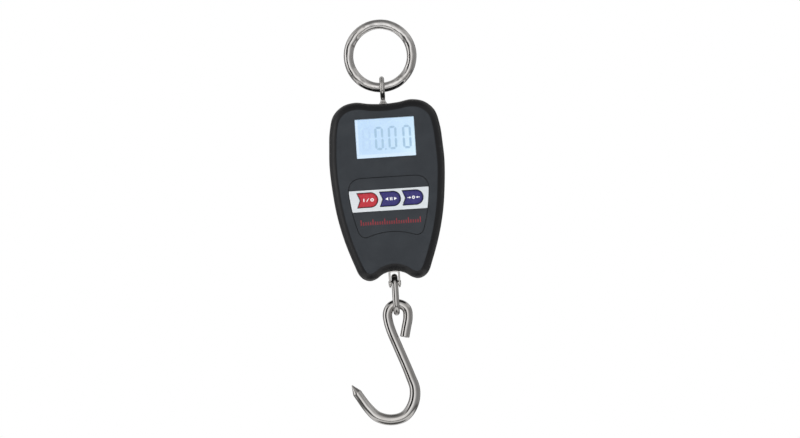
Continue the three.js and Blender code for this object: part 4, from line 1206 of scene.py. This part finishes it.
legendDetails = {"high": 2.2, "stroke": 0.58, "thin": 0.464, "bold": 0.68, "right": 0.5}
# what each key shows, from its middle: a stroke from (x, z) to (x, z) of a width, an arrowhead's tip and
# base in X with its height, and a ring's middle in X with its half width; heights are shares of high / 2
legendShapes = {
    "on_off": [("stroke", -3.0, -1, -3.0, 1, "bold"), ("stroke", -1.2, -1, 0.3, 1, "thin"),
               ("ring", 2.7, 0.935)],
    "mode": [("head", -3.9, -1.9, 1), ("stroke", -0.4, -1, -0.4, 1, "stroke"),
             ("stroke", 0.7, -1, 0.7, 1, "stroke"), ("head", 4.2, 2.2, 1)],
    "tare": [("stroke", -4.3, 0, -2.92, 0, "thin"), ("head", -1.6, -2.9, 0.7),
             ("stroke", 4.3, 0, 2.92, 0, "thin"), ("head", 1.6, 2.9, 0.7), ("ring", 0, 0.75)],
}


def buildLegend(name, box):
    # on/off: bar, slash and ring; mode: arrowheads either side of two bars; tare: arrows towards a nought
    front = box[0][1]
    middle = (box[0] + box[1]) / 2
    x, z = middle[0] + legendDetails["right"], middle[2]
    half = legendDetails["high"] / 2
    bodies = []
    for kind, *values in legendShapes[name]:
        if kind == "stroke":
            x0, z0, x1, z1, width = values
            shape = strokeShape((x + x0, z + z0 * half), (x + x1, z + z1 * half), legendDetails[width])
        elif kind == "head":
            tip, base, share = values
            high = half * share * np.sign(base - tip)
            shape = np.array([(x + tip, z), (x + base, z + high), (x + base, z - high)])
        else:
            at, wide = values
            line = legendDetails["stroke"]
            shape = circle(0, 0, 1, 32) * (wide, half - line / 2) + (x + at, z)
        bodies.append(bandRings(shape, line, front) if kind == "ring" else plate(shape, inkSteps(front)))
    piece = meshPiece(name + "_symbol", bodies)
    return finishPiece(piece, name + "_key", whiteInk)


graduation = {"from": -20.5, "to": 20.5, "marks": 26, "middleZ": -21.7, "long": 3.9, "short": 2.3,
              "wide": 0.62, "every": 5, "ink": 0.04}


def buildGraduation():
    # a row of red marks, every fifth one longer, on one base line
    g = graduation
    front = nodeBox("control_panel")[0][1]
    base = middleZ + g["middleZ"] - g["long"] / 2
    shapes = []
    for k, x in enumerate(np.linspace(g["from"], g["to"], g["marks"])):
        high = g["long"] if k % g["every"] == 0 else g["short"]
        shapes.append(strokeShape((x, base), (x, base + high), g["wide"]))
    piece = meshPiece("red_graduation", [plate(shape, inkSteps(front, g["ink"])) for shape in shapes])
    return finishPiece(piece, "weigher", redInk)


buildInlay()
buildStrip()
for name, box in zip(keyNames, keyBoxes):
    isRed = name == "on_off"
    buildKey(name, box, redKeyPlastic if isRed else blueKeyPlastic)
    buildLegend(name, box)
buildGraduation()
print("controls built")


# collar: (share of the stem's radius, height above the clevis)
clevisDetails = {"sheet": 1.3, "bend": 1.5, "endRadius": 3.3, "square": 0.22, "pinGap": 0.25, "sides": 48,
                 "legSteps": 40, "legCurve": 0.75, "under": 0.3, "stemFrom": 6.0,
                 "collar": [(1.0, -0.2), (1.0, 0.8), (0.92, 1.4), (0.92, 6.2)]}
# ends: (share of the pin's radius, distance inwards from its end)
pinDetails = {"ends": [(0.15, -0.42), (0.7, -0.36), (0.92, -0.2), (1.0, 0.0)]}
pinLow, pinHigh = nodeBox("clevis_pin")
pinMiddle = (pinLow + pinHigh) / 2
pinRadius = (pinHigh[2] - pinLow[2]) / 2


def pinRings(profile, count):
    # turned about the pin's axis, which runs along X: radius r at x, for each (r, x)
    angle = evenAngles(count)
    return np.stack([np.stack([np.full(count, x), pinMiddle[1] + r * np.cos(angle),
                               pinMiddle[2] + r * np.sin(angle)], 1) for r, x in profile])


def buildClevis():
    # sheet bent to a U in X and Z; its half width in Y narrows to a round end about the pin, and its
    # section is a superellipse: each of cos a and sin a raised to a small power
    low, high = nodeBox("clevis")
    t, r = clevisDetails["sheet"], clevisDetails["bend"]
    half = high[0] - t / 2
    deep = (high[1] - low[1]) / 2
    base = middleZ + loadLine["pocketTop"] - clevisDetails["under"] - t / 2
    angle = np.linspace(0, math.pi / 2, 10)
    e = clevisDetails["endRadius"]
    end = pinMiddle[2] - e
    up = np.linspace(0, 1, clevisDetails["legSteps"])**clevisDetails["legCurve"]
    left = np.stack([np.full(len(up), -half), end + (base - r - end) * up], 1)
    bendLeft = np.stack([-half + r - r * np.cos(angle), base - r + r * np.sin(angle)], 1)
    right = (np.vstack([left, bendLeft[1:]]) * (-1, 1))[::-1]
    path = np.vstack([left, bendLeft[1:], right])
    z = path[:, 1]
    roundEnd = np.sqrt(np.clip(e**2 - (pinMiddle[2] - z)**2, 0.02, None))
    taper = e + (deep - e) * np.clip((z - pinMiddle[2]) / (base - pinMiddle[2]), 0, 1)
    halfDeep = np.where(z < pinMiddle[2], roundEnd, taper)
    ahead = unit(np.gradient(path, axis=0))
    side = np.stack([-ahead[:, 1], ahead[:, 0]], 1)
    around = evenAngles(clevisDetails["sides"]) + turn / clevisDetails["sides"] / 2
    squareC, squareS = (np.sign(wave) * np.abs(wave)**clevisDetails["square"]
                        for wave in (np.cos(around), np.sin(around)))
    thick = np.minimum(t / 2, halfDeep)[:, None] * squareC
    flat = path[:, None] + thick[..., None] * side[:, None]
    rings = np.stack([flat[..., 0], halfDeep[:, None] * squareS, flat[..., 1]], 2)
    piece = meshPiece("swivel_clevis", [(rings, False)])
    hole = pinRings([(pinRadius + clevisDetails["pinGap"], x) for x in (-9, 9)], 40)
    combine(piece, [(hole, False)], "DIFFERENCE")
    stem = threadRings(shankRadius, eyeDetails["thread"], eyeDetails["pitch"],
                       base + clevisDetails["stemFrom"], high[2])
    collar = spindleRings([(shankRadius * share, base + up) for share, up in clevisDetails["collar"]], 0, 0)
    merged(piece, meshPiece("stem", [(stem, False)]), meshPiece("collar", [(collar, False)]))
    return finishPiece(piece, "swivel", polishedPart, ["clevis"], sharpAngle=40)


def buildPin():
    # riveted pin: a plain shank with low domed ends
    profile = [(r * pinRadius, pinLow[0] + x) for r, x in pinDetails["ends"]]
    profile += [(r * pinRadius, pinHigh[0] - x) for r, x in reversed(pinDetails["ends"])]
    piece = meshPiece("rivet_pin", [(pinRings(profile, 48), False)])
    return finishPiece(piece, "swivel", polishedPart, ["clevis_pin"], sharpAngle=40)


linkDetails = {"inside": 7.4, "steps": 220, "sides": 40, "flatten": 0.12}


def buildLink():
    # round bar bent to an oval in Y and Z, pressed a little thinner at its two ends
    low, high = nodeBox("link")
    bar = (high[0] - low[0]) / 2
    bend = linkDetails["inside"] / 2 + bar
    top, bottom = high[2] - bar - bend, low[2] + bar + bend
    angle = np.linspace(0, math.pi, 60)
    upper = np.stack([bend * np.cos(angle), top + bend * np.sin(angle)], 1)
    lower = np.stack([-bend * np.cos(angle), bottom - bend * np.sin(angle)], 1)
    path = evenlySpaced(np.vstack([upper, lower]), linkDetails["steps"], True)
    nearEnd = np.clip(np.maximum(path[:, 1] - top, bottom - path[:, 1]) / bend, 0, 1)
    rings = barRings(path, bar - linkDetails["flatten"] * nearEnd**2, "yz", True, linkDetails["sides"])
    piece = meshPiece("oval_link", [(rings, True)], barCoordinates(path, rings))
    return finishPiece(piece, "link_loop", polishedBar, ["link"])


hookDetails = {"eye": 3.3, "bowl": 3.8, "point": 3.2, "pointLength": 7.0, "tip": 0.25, "chamfer": 0.45,
               "bowlSpan": (0.45, 0.65), "pointSpan": (0.8, 0.95), "steps": 460, "sides": 56}
# middle of the hook's bar from its cut end round the eye to the point, in X and Z
hookLine = [(3.7, -16.2), (5.3, -9.6), (6.9, -2.6), (6.5, 3.1), (3.4, 6.3), (-0.8, 7.2), (-5, 5.2), (-7.1, 1),
            (-6.9, -4.5), (-5.1, -12), (-1.2, -23), (5.8, -42.8), (8.5, -53), (6.6, -63), (0.2, -71),
            (-9.4, -73), (-18.6, -70.2), (-24.2, -64.6), (-30.5, -55), (-35.1, -47.3)]


def smoothStep(x, a, b):
    # 3 t^2 - 2 t^3, with t going from 0 at a to 1 at b
    t = np.clip((x - a) / (b - a), 0, 1)
    return t * t * (3 - 2 * t)


def buildHook():
    # bar along the S line: eye bar, thicker bowl, ground point; the cut end is chamfered
    d = hookDetails
    low, high = nodeBox("s_hook")
    line = smoothThrough(hookLine, False, 40)
    line += (0, high[2] - d["eye"] - line[:, 1].max())
    path = evenlySpaced(line, d["steps"], False)
    length = np.linalg.norm(np.diff(path, axis=0), axis=1).sum()
    share = np.linspace(0, 1, len(path))
    bar = d["eye"] + (d["bowl"] - d["eye"]) * smoothStep(share, *d["bowlSpan"])
    bar += (d["point"] - bar) * smoothStep(share, *d["pointSpan"])
    bar = np.minimum(bar, d["tip"] + (1 - share) * length / d["pointLength"] * bar)
    bar = np.minimum(bar, d["eye"] - d["chamfer"] + share * length)
    rings = barRings(path, bar, "xz", False, d["sides"])
    rings[..., 0] += (low[0] + high[0]) / 2 - (rings[..., 0].min() + rings[..., 0].max()) / 2
    piece = meshPiece("hook_bar", [(rings, False)], barCoordinates(path, rings))
    return finishPiece(piece, "hook", polishedBar, ["s_hook"])


buildClevis()
buildPin()
buildLink()
buildHook()
print("clevis, link and hook built")


# dome: (growth of the head's outline, height above its seat)
screwDetails = {"head": 2.55, "space": 2.0, "shank": 1.3, "recess": 1.5, "recessWide": 0.55, "pitch": 1.1,
                "thread": 0.28, "dome": [(-0.05, 0), (0.0, 0.15), (0.0, 0.8), (-0.25, 1.35), (-0.8, 1.75),
                                         (-1.6, 1.9)]}


def buildCaseScrew(number):
    # domed head with a cross recess, threaded shank
    low, high = nodeBox("case_screw_%d" % number)
    x, z = (low[0] + high[0]) / 2, (low[2] + high[2]) / 2
    d = screwDetails
    seat = high[1] - d["space"]
    dome = [(grow, seat + up) for grow, up in d["dome"]]
    piece = meshPiece("case_fixing_%d" % number, [plate(circle(x, z, d["head"], 48), dome)])
    reach, wide = d["recess"], d["recessWide"] / 2
    arms = [roundedBox(x - reach, x + reach, z - wide, z + wide, 0.15),
            roundedBox(x - wide, x + wide, z - reach, z + reach, 0.15)]
    for arm in arms:
        combine(piece, [plate(arm, [(-0.12, seat + 0.7), (0, seat + 3)])], "DIFFERENCE")
    thread = threadRings(d["shank"], d["thread"], d["pitch"], 0, seat + 0.1 - low[1], count=24)
    thread = np.stack([x + thread[..., 0], low[1] + thread[..., 2], z + thread[..., 1]], 2)
    merged(piece, meshPiece("shank", [(thread, False)]))
    return finishPiece(piece, "weigher", zincPlate, ["case_screw_%d" % number], sharpAngle=35)


# foot: (inset from the side, height); shoulder: (inset, distance from the top); nub: (radius, the same)
cellDetails = {"band": 9.0, "bandSoft": 0.05,
               "foot": [(1.6, 0), (1.2, 0.12), (0.5, 0.12), (0.1, 0.5), (0, 1.0)],
               "shoulder": [(0, 2.2), (0.1, 1.7), (0.5, 1.35), (1.1, 1.3), (1.3, 1.5)],
               "nub": [(2.4, 1.5), (1.9, 1.1), (1.9, 0.25), (1.65, 0)]}


def buildCell(side):
    # turned about its own axis: rolled edges, a raised shoulder and the positive nub
    name = "battery_" + side
    low, high = nodeBox(name)
    x, y = (low[0] + high[0]) / 2, (low[1] + high[1]) / 2
    r = (high[0] - low[0]) / 2
    length = high[2] - low[2]
    d = cellDetails
    profile = [(r - inset, z) for inset, z in d["foot"]]
    profile += [(r - inset, length - z) for inset, z in d["shoulder"]]
    profile += [(radius, length - z) for radius, z in d["nub"]]
    up = side == "left"
    profile = [(radius, low[2] + z if up else high[2] - z) for radius, z in profile]
    piece = meshPiece(name + "_can", [(spindleRings(profile, x, y, 64), False)])
    bandFrom, toEnd = (high[2] - d["band"], d["bandSoft"]) if up else (low[2] + d["band"], -d["bandSoft"])
    material = cellFinish(bandFrom, bandFrom + toEnd)
    return finishPiece(piece, "weigher", material, [name], sharpAngle=40)


springDetails = {"wire": 0.32, "turns": 4.5, "wide": 2.9, "narrow": 1.6, "sides": 10, "steps": 220,
                 "closedEnds": 0.35}


def buildSpring(side):
    # wire along a cone-shaped helix: wide at the bay end, narrow at the cell; the wire's section is
    # path + r (cos a * out + sin a * third), where out and third are square to the wire
    name = "contact_spring_" + side
    low, high = nodeBox(name)
    x, y = (low[0] + high[0]) / 2, (low[1] + high[1]) / 2
    d = springDetails
    t = np.linspace(0, 1, d["steps"])
    angle = t * d["turns"] * turn
    wide = d["wide"] + (d["narrow"] - d["wide"]) * smoothStep(t, 0.1, 0.95)
    thick = d["wire"]
    rise = smoothStep(t, 0.0, 1.0) * d["closedEnds"] + t * (1 - d["closedEnds"])
    rise = (high[2] - low[2] - 2 * thick) * rise
    z = high[2] - thick - rise if side == "right" else low[2] + thick + rise
    path = np.stack([x + wide * np.cos(angle), y + wide * np.sin(angle), z], 1)
    ahead = unit(np.gradient(path, axis=0))
    out = np.stack([np.cos(angle), np.sin(angle), 0 * angle], 1)
    out = unit(out - np.sum(out * ahead, 1)[:, None] * ahead)
    third = np.cross(ahead, out)
    around = evenAngles(d["sides"])[None, :, None]
    rings = path[:, None] + thick * (np.cos(around) * out[:, None] + np.sin(around) * third[:, None])
    piece = meshPiece(name + "_wire", [(rings, False)])
    return finishPiece(piece, "weigher", zincPlate, [name])


# steps: (growth, depth from the bay's end) from the rim of the leaf to its dished middle
leafDetails = {"corner": 0.9, "inset": 0.05, "steps": [
    (0.0, 0.0), (0.05, 0.08), (0.05, 0.5), (0.0, 0.58), (-2.2, 0.58), (-2.6, 0.45), (-3.2, 0.42)]}


def buildContact(side):
    # square plate with rounded corners, dished towards the cell
    name = "contact_plate_" + side
    low, high = nodeBox(name)
    x, y = (low[0] + high[0]) / 2, (low[1] + high[1]) / 2
    half = (high[0] - low[0]) / 2
    edge = half - leafDetails["inset"]
    shape = roundedBox(-edge, edge, -edge, edge, leafDetails["corner"])
    up = side == "left"
    rings = []
    for g, h in leafDetails["steps"]:
        ring = shape * (1 + g / half)
        z = high[2] - h if up else low[2] + h
        rings.append(np.stack([x + ring[:, 0], y + ring[:, 1], np.full(len(ring), z)], 1))
    piece = meshPiece(name + "_leaf", [(np.stack(rings), False)])
    return finishPiece(piece, "weigher", zincPlate, [name])


for number in range(1, 5):
    buildCaseScrew(number)
for side in ("left", "right"):
    buildCell(side)
    buildSpring(side)
    buildContact(side)
print("fixings and cells built")


# finishes for the frame's own nodes that stay, by material slot
slotFinishes = {
    "polished_steel": polishedPart, "zinc_steel": zincPlate, "housing_plastic": charcoal,
    "dark_plastic": blackPlastic, "window": clearAcrylic, "light_guide": lightGuide,
    "contact_rubber": contactRubber, "board": boardMask, "silver_film": silverFilm,
    "beam_alloy": milledAlloy, "gauge_foil": gaugeFoil, "lead_sleeve": leadSleeve,
    "cell_sleeve": blackPlastic, "display": lightGuide, "red_key": redKeyPlastic, "blue_key": blueKeyPlastic,
}
for entry in frame["record"]["subparts"]:
    kept = nodes.get(entry["node"])
    if kept is not None and not kept.hide_render:
        for place in kept.material_slots:
            place.material = slotFinishes[entry["material_slot"]]
print("finishes given to the kept nodes")


stageDetails = {"drop": 0.075, "radius": 0.85, "grey": 0.86, "glow": 0.3, "rough": 0.7, "fadeFrom": 0.35,
                "rings": (0.02, 0.25, 0.5, 0.75, 1.0)}


def buildFloor():
    # a disc that fades out at its rim
    radius, level = stageDetails["radius"] / mm, (cadBox[0].z - stageDetails["drop"]) / mm
    rings = spindleRings([(radius * share, level) for share in stageDetails["rings"]], 0, 0, 96)
    points = rings.reshape(-1, 3) * mm
    rows, columns = rings.shape[:2]
    index = np.arange(rows * columns).reshape(rows, columns)
    quads = np.stack([index[:-1], np.roll(index[:-1], -1, 1), np.roll(index[1:], -1, 1), index[1:]], 2)
    mesh = bpy.data.meshes.new("floor")
    mesh.from_pydata(points.tolist(), [], quads[..., ::-1].reshape(-1, 4).tolist() + [index[0].tolist()])
    floor = bpy.data.objects.new("floor", mesh)
    bpy.context.scene.collection.objects.link(floor)
    material, tree, shader, place = newFinish("pale floor")
    grain = useGroup(tree, mouldGrain, place, Grain=300.0, Drift=4.0)
    grey = stageDetails["grey"]
    tone = colourBetween(tree, grain, "Tone", (grey, grey, grey), (grey * 1.03, grey * 1.03, grey * 1.02))
    wire(tree, tone, 2, shader, "Base Color")
    shader.inputs["Roughness"].default_value = stageDetails["rough"]
    wire(tree, tone, 2, shader, "Emission Color")
    shader.inputs["Emission Strength"].default_value = stageDetails["glow"]
    length = addNode(tree, "ShaderNodeVectorMath", operation="LENGTH")
    split = addNode(tree, "ShaderNodeSeparateXYZ")
    flat = addNode(tree, "ShaderNodeCombineXYZ")
    wire(tree, *place, split, 0)
    wire(tree, split, "X", flat, "X")
    wire(tree, split, "Y", flat, "Y")
    wire(tree, flat, 0, length, 0)
    edge = stageDetails["radius"]
    fade = spread(tree, length, "Value", edge * stageDetails["fadeFrom"], edge, 1.0, 0.0)
    wire(tree, fade, 0, shader, "Alpha")
    mesh.materials.append(material)
    floor.visible_glossy = False


areaLights = {
    "front": {"at": (-0.30, -2.3, 0.30), "size": (0.8, 0.8), "power": 40.0, "colour": (1.0, 0.995, 0.985)},
    "left": {"at": (-1.5, -1.3, 0.1), "size": (0.5, 0.9), "power": 3.5, "colour": (1.0, 0.98, 0.95)},
    "top": {"at": (0.1, -0.2, 1.1), "size": (1.0, 0.8), "power": 2.0, "colour": (1.0, 1.0, 1.0)},
    "right side": {"at": (1.7, 0.8, 0.1), "size": (0.6, 0.9), "power": 34.0, "colour": (1.0, 1.0, 1.0)},
    "left side": {"at": (-1.7, 0.8, 0.1), "size": (0.6, 0.9), "power": 34.0, "colour": (1.0, 1.0, 1.0)},
    "behind": {"at": (-0.3, 1.6, 0.3), "size": (1.4, 1.0), "power": 20.0, "colour": (1.0, 1.0, 1.0)},
}


def buildLights():
    # soft rectangles that point at the object's middle; reflections show the room instead of them
    aim = Vector((0, 0, (cadBox[0].z + cadBox[1].z) / 2))
    for name, values in areaLights.items():
        data = bpy.data.lights.new(name, "AREA")
        data.shape = "RECTANGLE"
        data.size, data.size_y = values["size"]
        data.energy = values["power"]
        data.color = values["colour"]
        lamp = bpy.data.objects.new(name, data)
        lamp.visible_glossy = False
        lamp.visible_transmission = False
        lamp.location = values["at"]
        lamp.rotation_euler = (aim - lamp.location).to_track_quat("-Z", "Y").to_euler()
        bpy.context.scene.collection.objects.link(lamp)


# brightness of the room round the object: direction in degrees from the front, towards +X
roomRound = [(-180, 0.40), (-150, 0.22), (-120, 0.30), (-100, 0.40), (-80, 1.6), (-67, 1.5), (-60, 0.03),
             (-25, 0.02), (-19, 1.0), (-8, 1.35), (6, 1.0), (25, 0.48), (45, 0.34), (75, 0.30), (100, 0.40),
             (130, 0.34), (155, 0.06), (180, 0.40)]
# brightness overhead and underfoot, and how far each reaches: height of the direction, -1 down, 1 up
roomCap = [(-1.0, 0.10), (-0.93, 0.10), (-0.85, 0.75), (-0.62, 0.90), (-0.50, 0.10), (0.45, 0.85),
           (0.66, 0.50), (0.87, 0.25), (1.0, 0.20)]
roomLight = {"brightest": 2.0, "soft": (0.97, 0.985, 1.0, 1), "softStrength": 0.22,
             "reflected": (1.0, 0.99, 0.975, 1)}
capReach = [(-1.0, 1.0), (-0.42, 1.0), (-0.30, 0.0), (0.35, 0.0), (0.60, 1.0), (1.0, 1.0)]


def rampFrom(tree, pairs, low, high, brightest):
    # a ramp of greys from (place, brightness) pairs
    ramp = addNode(tree, "ShaderNodeValToRGB")
    stops = ramp.color_ramp.elements
    while len(stops) < len(pairs):
        stops.new(0.5)
    for stop, (at, value) in zip(stops, pairs):
        stop.position = (at - low) / (high - low)
        level = value / brightest
        stop.color = (level, level, level, 1)
    return ramp


def buildWorld():
    # plain white to the camera; a soft room with dark gaps for reflections; an even soft light for the rest
    world = bpy.data.worlds.new("studio")
    bpy.context.scene.world = world
    world.use_nodes = True
    tree = world.node_tree
    tree.nodes.clear()
    place = addNode(tree, "ShaderNodeTexCoord")
    split = addNode(tree, "ShaderNodeSeparateXYZ")
    wire(tree, place, "Generated", split, 0)
    forward = maths(tree, "MULTIPLY", (split, "Y"), -1.0)
    direction = maths(tree, "ARCTAN2", (split, "X"), (forward, 0))
    share = spread(tree, direction, 0, -math.pi, math.pi)
    brightest = roomLight["brightest"]
    around = rampFrom(tree, roomRound, -180, 180, brightest)
    wire(tree, share, 0, around, "Fac")
    high = spread(tree, split, "Z", -1, 1)
    cap = rampFrom(tree, roomCap, -1, 1, brightest)
    wire(tree, high, 0, cap, "Fac")
    reach = rampFrom(tree, capReach, -1, 1, 1.0)
    wire(tree, high, 0, reach, "Fac")
    room = addNode(tree, "ShaderNodeMix", data_type="FLOAT")
    wire(tree, reach, "Color", room, 0)
    wire(tree, around, "Color", room, 2)
    wire(tree, cap, "Color", room, 3)
    room = maths(tree, "MULTIPLY", (room, 0), brightest)
    path = addNode(tree, "ShaderNodeLightPath")
    plain = addNode(tree, "ShaderNodeBackground", {"Color": (1, 1, 1, 1), "Strength": 1.0})
    soft = addNode(tree, "ShaderNodeBackground",
                   {"Color": roomLight["soft"], "Strength": roomLight["softStrength"]})
    banded = addNode(tree, "ShaderNodeBackground", {"Color": roomLight["reflected"]})
    wire(tree, room, 0, banded, "Strength")
    shine = addNode(tree, "ShaderNodeMixShader")
    wire(tree, path, "Is Glossy Ray", shine, 0)
    wire(tree, soft, 0, shine, 1)
    wire(tree, banded, 0, shine, 2)
    seen = addNode(tree, "ShaderNodeMixShader")
    wire(tree, path, "Is Camera Ray", seen, 0)
    wire(tree, shine, 0, seen, 1)
    wire(tree, plain, 0, seen, 2)
    result = addNode(tree, "ShaderNodeOutputWorld")
    wire(tree, seen, 0, result, "Surface")


cameraDetails = {"distance": 3.0, "lens": 194.0, "aimX": 0.00649, "aimZ": -0.13274, "roll": 3.7066,
                 "sensor": 36.0, "near": 0.05, "far": 50.0}


def buildCamera():
    # level with the object and turned about its own line of sight by the roll
    data = bpy.data.cameras.new("camera")
    data.lens = cameraDetails["lens"]
    data.sensor_width = cameraDetails["sensor"]
    data.clip_start, data.clip_end = cameraDetails["near"], cameraDetails["far"]
    camera = bpy.data.objects.new("camera", data)
    a = math.radians(cameraDetails["roll"])
    right = Vector((math.cos(a), 0, -math.sin(a)))
    up = Vector((math.sin(a), 0, math.cos(a)))
    back = right.cross(up)
    matrix = Matrix((right, up, back)).transposed().to_4x4()
    matrix.translation = (cameraDetails["aimX"], -cameraDetails["distance"], cameraDetails["aimZ"])
    camera.matrix_world = matrix
    bpy.context.scene.collection.objects.link(camera)
    bpy.context.scene.camera = camera


buildFloor()
buildLights()
buildWorld()
buildCamera()
bpy.context.scene.view_settings.view_transform = "Standard"
print("stage ready")
